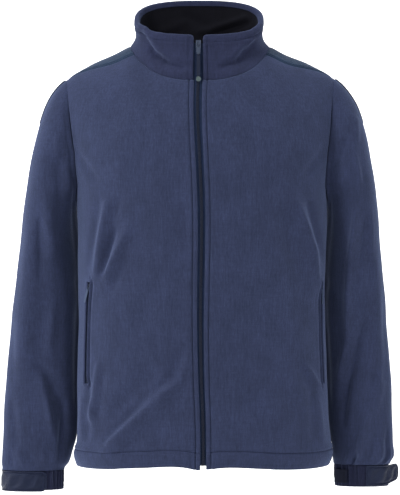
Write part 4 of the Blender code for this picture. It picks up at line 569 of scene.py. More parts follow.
def girth_to_arch(side, places, forward):
    """Change girth share and level into distance and arch angle."""
    tilt = forward * (math.pi / 2) * (1 - places[:, 1] / ARCH_RUN)
    return stacked(girth_to_pq(places[:, 0])[0] * arch_half_width(side, np.cos(tilt)), tilt)


def neck_point(drop, face):
    """Neckline angle where the arch angle is drop."""
    limit = NECK_FRONT_DROP if face == "front" else NECK_BACK_DROP
    angle = math.acos((drop / limit) ** (NECK_ROUNDNESS / 2))
    return angle if face == "front" else math.pi - angle


def shoulder_seam(side, face):
    """The seam from the neckline to the armhole, by distance and arch angle."""
    if face == "front":
        table, forward, neck_drop, end_angle = FRONT_SHOULDER_SEAM, -1.0, FRONT_SEAM_NECK, FRONT_SEAM_ARMHOLE
    else:
        table, forward, neck_drop, end_angle = BACK_SHOULDER_SEAM, 1.0, BACK_SEAM_NECK, -BACK_SEAM_ARMHOLE
    start = stacked(*neck_ring(neck_point(neck_drop, face)))
    inner = stacked(table[:, 0], forward * np.radians(table[:, 1]))
    points = np.vstack([start, inner, armhole_arch(side, np.array(end_angle))])
    marks = travelled(points, (1.0, 0.15))
    at, rows = np.linspace(0.0, marks[-1], 60), np.column_stack([marks, points])
    return stacked(smooth_table(at, rows, 1), smooth_table(at, rows, 2))


# ==== panels on the surfaces ====
def inset_edges(points, edges):
    """Move the named edges of a grid towards the next row or column, to leave a hair's gap at the seam."""
    moved = points.copy()
    for edge in edges:
        grid, source = moved, points
        if edge.endswith("column"):
            grid, source = moved.swapaxes(0, 1), points.swapaxes(0, 1)
        here, inward = (0, 1) if edge.startswith("first") else (-1, -2)
        grid[here] += unit(source[inward] - source[here]) * HALF_SEAM
    return moved


def coons(bottom, top, left, right, shares_u, shares_v):
    """Grid between four edges. Rows follow left and right, columns follow bottom and top."""
    u = shares_u[None, :, None]
    v = shares_v[:, None, None]
    ruled = (1 - v) * bottom[None] + v * top[None] + (1 - u) * left[:, None] + u * right[:, None]
    corners = ((1 - u) * (1 - v) * bottom[0] + u * (1 - v) * bottom[-1]
               + (1 - u) * v * top[0] + u * v * top[-1])
    return ruled - corners


def surface_grid(chart_of, u, v, middle=body_middle, limits=(0.0, 9.0)):
    """Points and normals on both halves. The sign of u is the side; normals are taken within the limits."""
    points = np.zeros(u.shape + (3,))
    normals = np.zeros_like(points)
    for side, here in ((-1, u < 0), (1, u >= 0)):
        if here.any():
            chart, along = chart_of(side), np.abs(u[here])
            points[here] = chart(along, v[here])
            normals[here] = chart_normals(chart, np.clip(along, *limits), v[here], middle)
    return points, normals


def body_grid(face, places, side=1):
    """Points and normals of the body at girth shares and levels, on the given side."""
    return surface_grid(lambda half: body_chart(half, face), side * places[..., 0], places[..., 1])


def zip_x(z):
    return smooth_table(z, ZIP_LINE)


def zip_gap(z):
    return smooth_table(z, ZIP_GAPS)


def hem_level(x):
    return smooth_table(x, HEM_LINE) - CHEST_Z


def column_shares(side, z):
    """Places of a front's columns at height z, from the centre front to the side seam."""
    middle = smooth_table(z, POCKET_LINE[side])
    away = max(z - POCKET_TOP_Z, POCKET_BOTTOM_Z - z, 0.0)
    half = 0.5 * (POCKET_SLIT + (WIDE_SLIT - POCKET_SLIT) * smoothstep(0.0, 0.06, away)) / FRONT_RUN
    inner = np.linspace(0.0, middle - half, FRONT_COLUMNS + 1)
    outer = np.linspace(middle + half, 1.0, SIDE_COLUMNS + 1)
    return np.concatenate([inner, outer])


def front_edge_girth(side, levels):
    """Girth share of a front edge beside the zip."""
    z = CHEST_Z + np.minimum(levels, 0.0)
    rise = np.sin(np.maximum(levels, 0.0) / ARCH_RUN * math.pi / 2)
    z = z + rise * (ridge_z(1, 0.0) - CHEST_Z)
    x = zip_gap(z) / 2 + side * zip_x(z)
    width = np.where(levels > 0, arch_half_width(side, rise), half_width(side, z))
    return p_to_girth(x / width)


def neck_start(side, gap):
    """Neckline angle of a front edge beside the zip."""
    return math.asin(((gap / 2 + side * zip_x(NECK_FRONT_Z)) / NECK_HALF_WIDTH) ** (NECK_ROUNDNESS / 2))


# ==== sleeves' surface ====
def sleeve_ring(side, angle, z):
    """Point of the sleeve's own section: 0 is outermost, a quarter turn on is the front."""
    own = 0 if side < 0 else 1
    outer = smooth_table(z, SLEEVE_SECTIONS, 1 + own)
    inner = half_width(side, z) + smooth_table(z, SLEEVE_SECTIONS, 3 + own)
    half_depth = smooth_table(z, SLEEVE_SECTIONS, 6)
    half = (outer - inner) / 2
    across = signed_power(np.cos(angle), 2 / SLEEVE_ROUNDNESS) * half
    forward = signed_power(np.sin(angle), 2 / SLEEVE_ROUNDNESS) * half_depth
    reach = np.hypot(half, SLEEVE_SHEAR * half_depth) / half
    x = (outer + inner) / 2 + across / reach - SLEEVE_SHEAR * forward
    return stacked(side * x, smooth_table(z, SLEEVE_SECTIONS, 5) - forward, z)


def armhole_exact(side, angle):
    """Point of the armhole's seam on the folded body."""
    place = armhole_girth(side, angle)
    front, back = (body_chart(side, face)(place[..., 0], place[..., 1]) for face in ("front", "back"))
    return np.where((angle >= 0)[..., None], front, back)


TURNS = np.linspace(-math.pi, math.pi, 1441)
ARMHOLE_LINES = {side: armhole_exact(side, TURNS) for side in (-1, 1)}


def cap_point(side, angle, share):
    """The sleeve head: from the armhole, 0, to the first level section, 1."""
    turn = np.degrees(angle) % 360.0
    whole = angle % (2 * math.pi)
    start = at_marks(np.where(whole > math.pi, whole - 2 * math.pi, whole), TURNS, ARMHOLE_LINES[side])
    end, below = (sleeve_ring(side, angle, np.full_like(angle, z)) for z in (CAP_END_Z, CAP_END_Z - 0.01))
    leave = unit(stacked(*(sign * smooth_table(turn, CAP_LEAVES, column)
                           for column, sign in ((1, side), (2, -1), (3, -1)))))
    reach = smooth_table(turn, CAP_LEAVES, 4)[..., None] * CAP_FULLNESS[side]
    arrive = unit(below - end) * smooth_table(turn, CAP_ENDS)[..., None]
    return hermite(share[..., None], start + leave * HALF_SEAM, leave * reach, end, arrive)


def sleeve_bare(side):
    """Sleeve surface by angle and run: 0 to 1 is the head, and past 1 the drop below it in metres."""
    def bare(angle, run):
        z = CAP_END_Z - np.maximum(run - 1.0, 0.0)
        return np.where((run < 1.0)[..., None], cap_point(side, angle, np.clip(run, 0.0, 1.0)),
                        sleeve_ring(side, angle, z))
    return bare


def sleeve_middle(points):
    """A line inside the sleeve at each point's height."""
    out, back, top = SLEEVE_CORE
    return stacked(np.sign(points[..., 0]) * out, back, np.minimum(points[..., 2], top))


def sleeve_chart(side):
    """Sleeve surface with its folds and creases, by angle and run."""
    bare = sleeve_bare(side)
    folds = SLEEVE_FOLDS[side].copy()
    folds[:, (0, 2)] = np.radians(folds[:, (0, 2)]) * SLEEVE_RADIUS

    def raised(angle, run):
        points = bare(angle, run)
        rise = fold_height(angle % (2 * math.pi) * SLEEVE_RADIUS, points[..., 2], folds) + unevenness(points)
        rise = rise * smoothstep(0.0, 0.25, run)
        return points + chart_normals(bare, angle, run, sleeve_middle) * rise[..., None]
    return raised


def cuff_ring(side, angle, grow=0.0):
    """The cuff's outer side in plan, grown outwards."""
    outer, inner, middle_y, half_depth = CUFF_RING[side]
    x = (outer + inner) / 2 + signed_power(np.cos(angle), 2 / SLEEVE_ROUNDNESS) * ((outer - inner) / 2 + grow)
    y = middle_y - signed_power(np.sin(angle), 2 / SLEEVE_ROUNDNESS) * (half_depth + grow)
    return stacked(side * x, y)


def cuff_centre(side):
    return np.array([side * sum(CUFF_RING[side][:2]) / 2, CUFF_RING[side][2]])


def cuff_points(side, angle, lift):
    """Points of the cuff's outer side in plan, moved out by lift, and the directions out of it."""
    plan = cuff_ring(side, angle)
    along = unit(cuff_ring(side, angle + 1e-3) - cuff_ring(side, angle - 1e-3))
    out = side * stacked(-along[..., 1], along[..., 0])
    out = out * np.sign(np.sum(out * (plan - cuff_centre(side)), axis=-1, keepdims=True))
    return plan + out * np.asarray(lift)[..., None], out


def tab_path(side):
    """The tab's line round the cuff in plan, and the directions out of it."""
    angles = np.radians(np.linspace(-37, 117, 120) if side < 0 else np.linspace(85, 26, 50))
    plan, out = cuff_points(side, angles, TAB_CLEARANCE + TAB_THICK)
    if side > 0:
        onward = unit(plan[-1] - plan[-2])
        steps = np.linspace(0.0, (TAB_END_X - plan[-1, 0]) / onward[0], 40)[1:, None]
        plan = np.vstack([plan, plan[-1] + onward * steps])
        out = np.vstack([out, np.repeat(out[-1:], len(steps), axis=0)])
    return plan, out


# ==== collar's surface ====
def collar_rim(side, angle):
    """Outer edge of the collar where the roll begins, with its rounded front corner."""
    share = signed_power(np.sin(angle), 2 / NECK_ROUNDNESS)
    x = side * COLLAR_HALF_WIDTH[side] * share
    y = COLLAR_MIDDLE_Y - COLLAR_HALF_DEPTH * signed_power(np.cos(angle), 2 / NECK_ROUNDNESS)
    z = COLLAR_SIDE_Z - 0.0085 + COLLAR_SLOPE * y - COLLAR_ROLL
    edge_x = COLLAR_HALF_WIDTH[side] * math.sin(neck_start(side, COLLAR_ZIP_GAP)) ** (2 / NECK_ROUNDNESS)
    near = np.clip(1.0 - (np.abs(x) - edge_x) / COLLAR_CORNER, 0.0, 1.0) * (np.cos(angle) > 0)
    z = z - COLLAR_CORNER * 0.55 * (1 - np.sqrt(np.maximum(1 - near**2, 0.0)))
    return stacked(x, y, z)


def collar_bare(side):
    """Collar surface by neckline angle and height share, 1 where the roll begins."""
    def bare(angle, share):
        base = shoulder_chart(side)(*neck_ring(angle)) + COLLAR_ABOVE_NECK
        rim = collar_rim(side, angle)
        height = np.linalg.norm(rim - base, axis=-1, keepdims=True)
        radial = unit(stacked(base[..., 0] * 0.7, base[..., 1] + 0.02, 0.0))
        sideways = np.sin(angle)[..., None] ** 2
        lean = COLLAR_LEAN[side] * sideways + 0.10
        up = np.array([0.0, 0.0, 1.0])
        leave = unit(up - radial * lean) * height * (1.0 + 0.20 * lean)
        arrive = unit(up + radial * 0.10 * sideways) * height
        return hermite(share[..., None], base, leave, rim, arrive)
    return bare


def collar_middle(points):
    """The collar's middle line, level with each point."""
    return stacked(0.0, COLLAR_MIDDLE_Y, points[..., 2])


def collar_chart(side):
    """Collar surface with its folds and creases."""
    def folds(points):
        x, y, z = np.moveaxis(points, -1, 0)
        return fold_height(x, z, COLLAR_FOLDS) * smoothstep(0.02, -0.01, y) + unevenness(points, 0.0003)
    return folded(collar_bare(side), folds, collar_middle)


def collar_grid(signed, shares):
    """Points and normals of the collar, by signed neckline angle and height share."""
    return surface_grid(collar_chart, *np.meshgrid(signed, shares), collar_middle, (1e-3, math.pi - 1e-3))


def rim_frame(signed):
    """Where the roll begins: points, outward directions and upward directions."""
    points, normals = collar_grid(signed, np.array([0.8, 1.0]))
    up = unit(points[1] - points[0])
    return points[1], unit(normals[1] - up * np.sum(normals[1] * up, axis=-1, keepdims=True)), up


# ==== fine shells ====
def spread(stops, step=STEP):
    """Values through all the stops, with even steps of about the given size between them."""
    parts = [np.linspace(low, high, max(1, round((high - low) / step)), endpoint=False)
             for low, high in zip(stops, stops[1:])]
    return np.concatenate(parts + [stops[-1:]])


def strip_places(length, grooves=(), step=STEP):
    """Distances across a strip, close together at both edges and at its stitched grooves."""
    marks = np.concatenate([EDGE_STEPS, length - EDGE_STEPS] + [at + GROOVE_STEPS for at in grooves])
    marks = np.unique(np.round(marks[(marks >= 0) & (marks <= length)], 5))
    marks[-1] = length
    return spread(marks, step)


def strip_shares(length, grooves=(), step=STEP):
    """The same places as shares of the strip's length."""
    return strip_places(length, grooves, step) / length


def distance_to(points, line):
    """Distance of each point to a line of points."""
    flat = points.reshape(-1, 3)
    start, along = line[:-1], np.diff(line, axis=0)
    square = np.maximum(np.sum(along**2, axis=1), 1e-12)
    nearest = np.full(len(flat), 1.0)
    for block in range(0, len(flat), 2000):
        part = flat[block:block + 2000, None] - start[None]
        share = np.clip(np.sum(part * along, axis=-1) / square, 0.0, 1.0)
        gap = np.linalg.norm(part - share[..., None] * along, axis=-1)
        nearest[block:block + 2000] = gap.min(axis=1)
    return nearest.reshape(points.shape[:-1])


def edge_distances(points):
    """Distance of a grid's points to its first and last rows and to its first and last columns."""
    return [distance_to(points, line) for line in (points[0], points[-1], points[:, 0], points[:, -1])]


def groove(distance, at, deep, width, puff):
    """A stitched groove between two soft puffs."""
    return (ridge(distance, at - 0.0038, 0.0024, puff) + ridge(distance, at + 0.0038, 0.0024, puff)
            - ridge(distance, at, width, deep))


def sewn(distance, deep=0.0013, width=0.0022):
    """Cloth drawn into a seam."""
    return -ridge(distance, 0.0, width, deep)


def rounding(distance, thickness):
    """How far both faces of a turned edge draw in."""
    radius = thickness * 0.5
    near = np.clip(1.0 - distance / radius, 0.0, 1.0)
    return radius * 0.94 * (1.0 - np.sqrt(1.0 - near**2))


def placed(name, data, place=(0.0, 0.0, 0.0)):
    """A new object in the scene."""
    made = bpy.data.objects.new(name, data)
    made.location = place
    bpy.context.scene.collection.objects.link(made)
    return made


def add_mesh(name, vertices, faces):
    """An object from its points and faces, shaded smooth, faces turned outwards."""
    mesh = bpy.data.meshes.new(name)
    mesh.from_pydata(np.asarray(vertices).tolist(), [], faces)
    work = bmesh.new()
    work.from_mesh(mesh)
    bmesh.ops.delete(work, geom=[vert for vert in work.verts if not vert.link_faces], context="VERTS")
    bmesh.ops.recalc_face_normals(work, faces=work.faces)
    work.to_mesh(mesh)
    work.free()
    mesh.shade_smooth()
    mesh.set_sharp_from_angle(angle=math.radians(60))
    return placed(name, mesh)


def shell(node, outer, inner, closed=False, holes=()):
    """A closed wall between two grids of points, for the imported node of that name."""
    rows, columns = outer.shape[:2]
    count = rows * columns
    spans = columns if closed else columns - 1
    present = {(row, column) for row in range(rows - 1) for column in range(spans)} - set(holes)
    faces = []
    for row, column in sorted(present):
        here, onward = row * columns + column, row * columns + (column + 1) % columns
        ring = [here, onward, onward + columns, here + columns]
        faces.append(ring)
        faces.append([corner + count for corner in reversed(ring)])
        sides = {(row - 1, column): (ring[1], ring[0]), (row + 1, column): (ring[3], ring[2]),
                 (row, column - 1): (ring[0], ring[3]), (row, column + 1): (ring[2], ring[1])}
        for (next_row, next_column), (start, end) in sides.items():
            if closed:
                next_column %= columns
            if (next_row, next_column) not in present:
                faces.append([start, end, end + count, start + count])
    return add_mesh("cloth_" + node, np.concatenate([outer.reshape(-1, 3), inner.reshape(-1, 3)]), faces)


def cloth(node, points, normals, rise, thickness, edges=(), **how):
    """A shell on a surface: rise lifts it, and its free edges, given by distances to them, are rounded."""
    draw = np.zeros(points.shape[:2])
    for distance in edges:
        draw = np.maximum(draw, rounding(distance, thickness))
    outer = points + normals * (rise - draw)[..., None]
    return shell(node, outer, points + normals * (rise * 0.7 - thickness + draw)[..., None], **how), outer


# ==== fronts and back ====
FRONT_C = np.unique(np.concatenate([  # fine columns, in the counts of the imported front's columns
    strip_shares(FRONT_LENGTH, (ZIP_GROOVE[0], FRONT_LENGTH - WELT_GROOVE[0])) * FRONT_COLUMNS,
    [float(NECK_COLUMNS)], FRONT_COLUMNS + np.array([0.25, 0.5, 0.75]),
    FRONT_COLUMNS + 1 + strip_shares(SIDE_LENGTH) * SIDE_COLUMNS]))
LOW_HEIGHTS = HEM_Z + spread(np.unique(np.round(np.concatenate([
    EDGE_STEPS, HEM_TURN + GROOVE_STEPS, POCKET_BOTTOM_Z - HEM_Z + np.append(-EDGE_STEPS, EDGE_STEPS),
    POCKET_TOP_Z - HEM_Z + np.append(-EDGE_STEPS, EDGE_STEPS), [UNDERARM_Z - HEM_Z]]), 5)))
CHEST_V = strip_shares(CHEST_LENGTH, (CHEST_LENGTH - 0.005,))


def shares_at(side, z):
    """Places of a front's fine columns at height z."""
    return np.interp(FRONT_C, np.arange(FRONT_COLUMNS + SIDE_COLUMNS + 2), column_shares(side, z))


def seam_shares(side):
    """Places along the front shoulder seam where the front's columns end."""
    last = column_shares(side, UNDERARM_Z)[NECK_COLUMNS:]
    return (last - last[0]) / (last[-1] - last[0])


def front_places(side):
    """Girth share and level of a front's fine grid."""
    rows = []
    for z in LOW_HEIGHTS:
        start = float(front_edge_girth(side, np.array(z - CHEST_Z)))
        girth = start + (1 - start) * shares_at(side, z)
        x = side * girth_to_pq(girth)[0] * half_width(1, HEM_Z)
        near_hem = 1.0 - smoothstep(HEM_Z, HEM_Z + 2 * HEM_TURN, z)
        rows.append(stacked(girth, z - CHEST_Z + (hem_level(x) - (HEM_Z - CHEST_Z)) * near_hem))
    low = np.array(rows)
    seam = arch_to_girth(side, shoulder_seam(side, "front"))
    at_neck = FRONT_C <= NECK_COLUMNS
    angles = np.interp(FRONT_C[at_neck], (0, NECK_COLUMNS),
                       (neck_start(side, zip_gap(NECK_FRONT_Z)), neck_point(FRONT_SEAM_NECK, "front")))
    neck = arch_to_girth(side, stacked(*neck_ring(angles)))
    edge_levels = np.linspace(UNDERARM_Z - CHEST_Z, neck[0, 1], 200)
    edge = stacked(front_edge_girth(side, edge_levels), edge_levels)
    neck[0] = edge[-1]
    past = np.interp(FRONT_C[~at_neck] - NECK_COLUMNS, np.arange(SEAM_COLUMNS + 1), seam_shares(side))
    top = np.vstack([neck, resample(seam, past, METRIC)])
    armhole = armhole_girth(side, math.pi + (FRONT_SEAM_ARMHOLE - math.pi) * CHEST_V)
    high = coons(low[-1], top, resample(edge, CHEST_V, METRIC), armhole, shares_at(side, UNDERARM_Z), CHEST_V)
    return np.concatenate([low, high[1:]])


def hem_thickness(places, keep_from):
    """Two layers in the turned hem, one beside the zip and above it."""
    in_hem = 1.0 - smoothstep(HEM_Z + HEM_TURN - 0.004, HEM_Z + HEM_TURN + 0.004, CHEST_Z + places[..., 1])
    clear = smoothstep(keep_from, keep_from + 0.03, np.abs(places[..., 0]))
    return FLEECE + HEM_EXTRA * in_hem * clear


def make_front(side, label):
    """A front with its pocket slit, stitched at the zip, the slit and the hem."""
    places = front_places(side)
    points, normals = body_grid("front", places, side)
    points = inset_edges(points, ("last_row", "last_column"))
    near, far = (int(np.argmin(np.abs(FRONT_C - column))) for column in (FRONT_COLUMNS, FRONT_COLUMNS + 1))
    low, high = (int(np.argmin(np.abs(LOW_HEIGHTS - z))) for z in (POCKET_BOTTOM_Z, POCKET_TOP_Z))
    slit = slice(low, high + 1)
    loop = np.vstack([points[slit, near], points[high, near:far + 1], points[slit, far][::-1],
                      points[low, near:far + 1][::-1]])
    to_hem, to_top, to_zip, to_side = edge_distances(points)
    to_slit, to_welt = distance_to(points, loop), distance_to(points, points[slit, near])
    z = points[..., 2]
    beside_sleeve = smoothstep(-0.085, -0.115, z) * (np.arange(len(points)) >= len(LOW_HEIGHTS))[:, None]
    rise = (groove(to_zip, *ZIP_GROOVE) + groove(to_hem, *HEM_GROOVE)
            + groove(to_welt, *WELT_GROOVE) * (np.arange(points.shape[1]) < near)
            + ridge(to_slit, 0.0030, 0.0018, 0.0010)
            + sewn(to_side, 0.0012) * smoothstep(CHEST_Z, CHEST_Z - 0.03, z) + sewn(to_top, 0.0014, 0.0016)
            + beside_sleeve * ridge(to_side, 0.0030, 0.0016, 0.0006))
    thickness = hem_thickness(places, ZIP_TAPE_WIDTH / FRONT_RUN + 0.06)
    holes = {(row, place) for row in range(low, high) for place in range(near, far)}
    made, outer = cloth("front_" + label, points, normals, rise, thickness,
                        (to_zip, to_hem, to_slit, to_side + 0.01 * (1.0 - beside_sleeve)), holes=holes)
    finish_cloth(made, "fleece")
    add_stitches(crossing(outer, to_zip, ZIP_GROOVE[0]), body_middle)
    add_stitches(crossing(outer, to_hem, HEM_TURN, turned=True)[6:], body_middle)
    add_stitches(crossing(outer[slit, near::-1], to_welt[slit, near::-1], WELT_GROOVE[0]), body_middle)


def back_places():
    """Signed girth share and level of the back's fine grid."""
    half = strip_shares(FRONT_RUN, (), 0.0052) * BACK_HALF
    half = np.unique(np.append(half, float(SEAM_COLUMNS)))
    shares = np.concatenate([half, 2 * BACK_HALF - half[::-1][1:]]) / (2 * BACK_HALF)
    girth = 2 * shares - 1
    side_wave = hem_level(np.sign(girth) * half_width(1, HEM_Z)) - (HEM_Z - CHEST_Z)
    side_wave = side_wave * smoothstep(0.6, 1.0, np.abs(girth))
    near_hem = 1.0 - smoothstep(HEM_Z, HEM_Z + 2 * HEM_TURN, LOW_HEIGHTS)
    low = stacked(girth, (LOW_HEIGHTS - CHEST_Z)[:, None] + side_wave * near_hem[:, None])
    edges, halves = {}, {}
    at_seam = half <= SEAM_COLUMNS
    start = neck_point(BACK_SEAM_NECK, "back")
    angles = start + (math.pi - start) * (half[~at_seam] - SEAM_COLUMNS) / (BACK_HALF - SEAM_COLUMNS)
    for side in (-1, 1):
        mirror = np.array([side, 1.0])
        edges[side] = armhole_girth(side, -math.pi + (math.pi - BACK_SEAM_ARMHOLE) * CHEST_V) * mirror
        seam = arch_to_girth(side, shoulder_seam(side, "back"))[::-1]
        neck = arch_to_girth(side, stacked(*neck_ring(angles)))
        halves[side] = np.vstack([resample(seam, half[at_seam] / SEAM_COLUMNS, METRIC), neck]) * mirror
    top = np.vstack([halves[-1], halves[1][::-1][1:]])
    top[len(half) - 1, 0] = 0.0
    high = coons(low[-1], top, edges[-1], edges[1], shares, CHEST_V)
    return np.concatenate([low, high[1:]])


def make_back():
    places = back_places()
    points, normals = body_grid("back", places)
    points = inset_edges(points, ("last_row", "first_column", "last_column"))
    to_hem, *to_seams = edge_distances(points)
    rise = groove(to_hem, *HEM_GROOVE) + sewn(np.minimum.reduce(to_seams), 0.0009)
    made, outer = cloth("back", points, normals, rise, hem_thickness(places, -1.0), (to_hem,))
    finish_cloth(made, "fleece")
    add_stitches(crossing(outer, to_hem, HEM_TURN, turned=True), body_middle)


def make_shoulder_panel(side, label):
    """The woven panel over a shoulder, stitched along its front and back seams."""
    shares_u = strip_shares(SHOULDER_LENGTH, (), FINE_STEP)
    shares_v = strip_shares(SHOULDER_DEPTH, (0.004, SHOULDER_DEPTH - 0.004), FINE_STEP)
    front_shares = np.interp(shares_u * SEAM_COLUMNS, np.arange(SEAM_COLUMNS + 1), seam_shares(side))
    edges = []
    for face, shares, forward in (("front", front_shares, -1.0), ("back", shares_u, 1.0)):
        seam = arch_to_girth(side, shoulder_seam(side, face))
        edges.append(girth_to_arch(side, resample(seam, shares, METRIC), forward))
    start, end = neck_point(FRONT_SEAM_NECK, "front"), neck_point(BACK_SEAM_NECK, "back")
    neck = stacked(*neck_ring(start + (end - start) * shares_v))
    arm = armhole_arch(side, FRONT_SEAM_ARMHOLE - (FRONT_SEAM_ARMHOLE + BACK_SEAM_ARMHOLE) * shares_v)
    places = coons(*edges, neck, arm, shares_u, shares_v)
    points, normals = surface_grid(shoulder_chart, side * places[..., 0], places[..., 1])
    points = inset_edges(points, ("first_row", "last_row", "first_column", "last_column"))
    to_front, to_back, *to_ends = edge_distances(points)
    rise = (sewn(np.minimum(to_front, to_back), 0.0016, 0.0014) + sewn(np.minimum(*to_ends), 0.0006, 0.0016)
            + groove(to_front, *SHOULDER_GROOVE) + groove(to_back, *SHOULDER_GROOVE))
    made, outer = cloth("shoulder_panel_" + label, points, normals, rise, FLEECE)
    finish_cloth(made, "woven_panel")
    for distance, reverse in ((to_front, False), (to_back, True)):
        add_stitches(crossing(outer, distance, SHOULDER_GROOVE[0], True, reverse), body_middle, FINE_PITCH)


# ==== sleeves ====
def sleeve_surface(side, angle, run):
    """Points and normals of a sleeve, its end tucked in over the cuff."""
    chart = sleeve_chart(side)
    points = chart(angle, run)
    normals = chart_normals(chart, angle, np.maximum(run, 4e-4), sleeve_middle)
    share = np.clip((SLEEVE_END_Z[side] + SLEEVE_TUCK - points[..., 2]) / SLEEVE_TUCK, 0.0, 1.0)
    tuck = (1.0 - np.sqrt(1.0 - share**2))[..., None]
    end = np.concatenate([cuff_ring(side, angle, 0.0022), points[..., 2:]], axis=-1)
    level = unit(normals * np.array([1.0, 1.0, 0.0]))
    return points + (end - points) * tuck, unit(normals + (level - normals) * tuck)


def make_sleeve(side, label):
    """A sleeve, drawn in at the armhole in front and at its underarm seam."""
    angles = np.linspace(0.0, 2 * math.pi, SLEEVE_COLUMNS, endpoint=False)
    cap = np.append(strip_shares(CAP_LENGTH, (), 0.005)[:-4], 1.0)
    drop = CAP_END_Z - SLEEVE_END_Z[side]
    tucked = drop - SLEEVE_TUCK * np.cos(np.radians([10, 22, 34, 46, 58, 68, 77, 84, 90]))
    below = 1.0 + np.concatenate([spread(np.array([0.0, drop - 0.014]), 0.0048), tucked])
    angle, run = np.meshgrid(angles, np.concatenate([cap, below[1:]]))
    points, normals = sleeve_surface(side, angle, run)
    to_armhole = distance_to(points, np.vstack([points[0], points[0, :1]]))
    turn = np.degrees(angle)
    ahead = smoothstep(46, 66, turn) * (1 - smoothstep(150, 172, turn))
    sunk = ridge(to_armhole, 0.0, 0.0030, 0.0016) + ridge(to_armhole, 0.0060, 0.0050, 0.0024)
    rise = (sewn(to_armhole, 0.0005) - ahead * sunk
            - ridge((angle - math.pi) * SLEEVE_RADIUS, 0.0, 0.0030, 0.0008))
    made, _ = cloth("sleeve_" + label, points, normals, rise, FLEECE, closed=True)
    finish_cloth(made, "fleece")


def make_sleeve_panel(side, label):
    """The woven panel on the sleeve head."""
    stitch_at = SLEEVE_PANEL_GROOVE[0]
    across = strip_shares(PANEL_LENGTH, (stitch_at, PANEL_LENGTH - stitch_at), FINE_STEP)
    down = strip_shares(PANEL_DEPTH, (0.0045,), FINE_STEP)
    columns, rows = np.meshgrid(-PANEL_BACK_COLUMNS + (SHOULDER_ROWS + PANEL_BACK_COLUMNS) * across,
                                PANEL_ROWS[0] + (PANEL_ROWS[1] - PANEL_ROWS[0]) * down)
    taper = PANEL_TAPER * smoothstep(0.0, PANEL_ROWS[1], rows)
    columns = columns - taper * smoothstep(SHOULDER_ROWS - 2.0, SHOULDER_ROWS - 1.0, columns)
    pitch = np.where(columns < 0, (math.pi - BACK_SEAM_ARMHOLE) / CHEST_ROWS,
                     (FRONT_SEAM_ARMHOLE + BACK_SEAM_ARMHOLE) / SHOULDER_ROWS)
    angle = (columns * pitch - BACK_SEAM_ARMHOLE) % (2 * math.pi)
    points, normals = sleeve_surface(side, angle, rows / CAP_ROWS)
    points = points + normals * (PANEL_CLEARANCE + WOVEN)
    distances = edge_distances(points)
    free = np.minimum.reduce(distances)
    made, outer = cloth("sleeve_panel_" + label, points, normals, groove(free, *SLEEVE_PANEL_GROOVE), WOVEN,
                        (free,))
    finish_cloth(made, "woven_panel")
    add_stitches(crossing(outer, distances[3], stitch_at, reverse=True), sleeve_middle, FINE_PITCH)


# ==== cuffs ====
def make_cuff(side, label):
    """The elastic cuff, a ring of soft gathers."""
    index = np.arange(CUFF_GATHERS * 16) / 8.0
    angle = (index + 0.22 * np.sin(2.1 * index)) * math.pi / CUFF_GATHERS
    turn = np.degrees(angle)
    gathered = smoothstep(GATHER_START[side] - 4, GATHER_START[side] + 2, turn)
    gathered = gathered * (1 - smoothstep(GATHER_END[side] - 2, GATHER_END[side] + 4, turn))
    uneven = 0.72 + 0.28 * np.sin(1.7 * index + side)
    outer, inner = [], []
    for share in (0.0, 0.01, 0.04, 0.10, 0.2, 0.32, 0.45, 0.58, 0.70, 0.82, 0.90, 0.96, 0.99, 1.0):
        wave = 0.5 + 0.5 * np.cos(math.pi * (index + 0.12 * np.sin(1.3 * index + 4 * share)))
        swell = 0.25 + 0.75 * math.sin(math.pi * min(0.12 + share, 1.0)) ** 0.5 * (1 - 0.15 * share)
        stitched = 1.0 - sum(ridge(share, at, 0.03, 0.35) for at in CUFF_STITCHES)
        rise = (2.00 * GATHER_HEIGHT * wave * uneven * stitched - 0.0021) * gathered * swell
        plan, out = cuff_points(side, angle, rise)
        draw = rounding(min(share, 1 - share) * CUFF_HEIGHT[side], CUFF_WALL)
        z = np.full(len(index), SLEEVE_END_Z[side] - SEAM_GAP - CUFF_HEIGHT[side] * share)
        outer.append(np.column_stack([plan - out * draw, z]))
        inner.append(np.column_stack([plan - out * (CUFF_WALL - draw), z]))
    made = shell("cuff_" + label, np.array(outer), np.array(inner), closed=True)
    finish_cloth(made, "cuff_fleece")


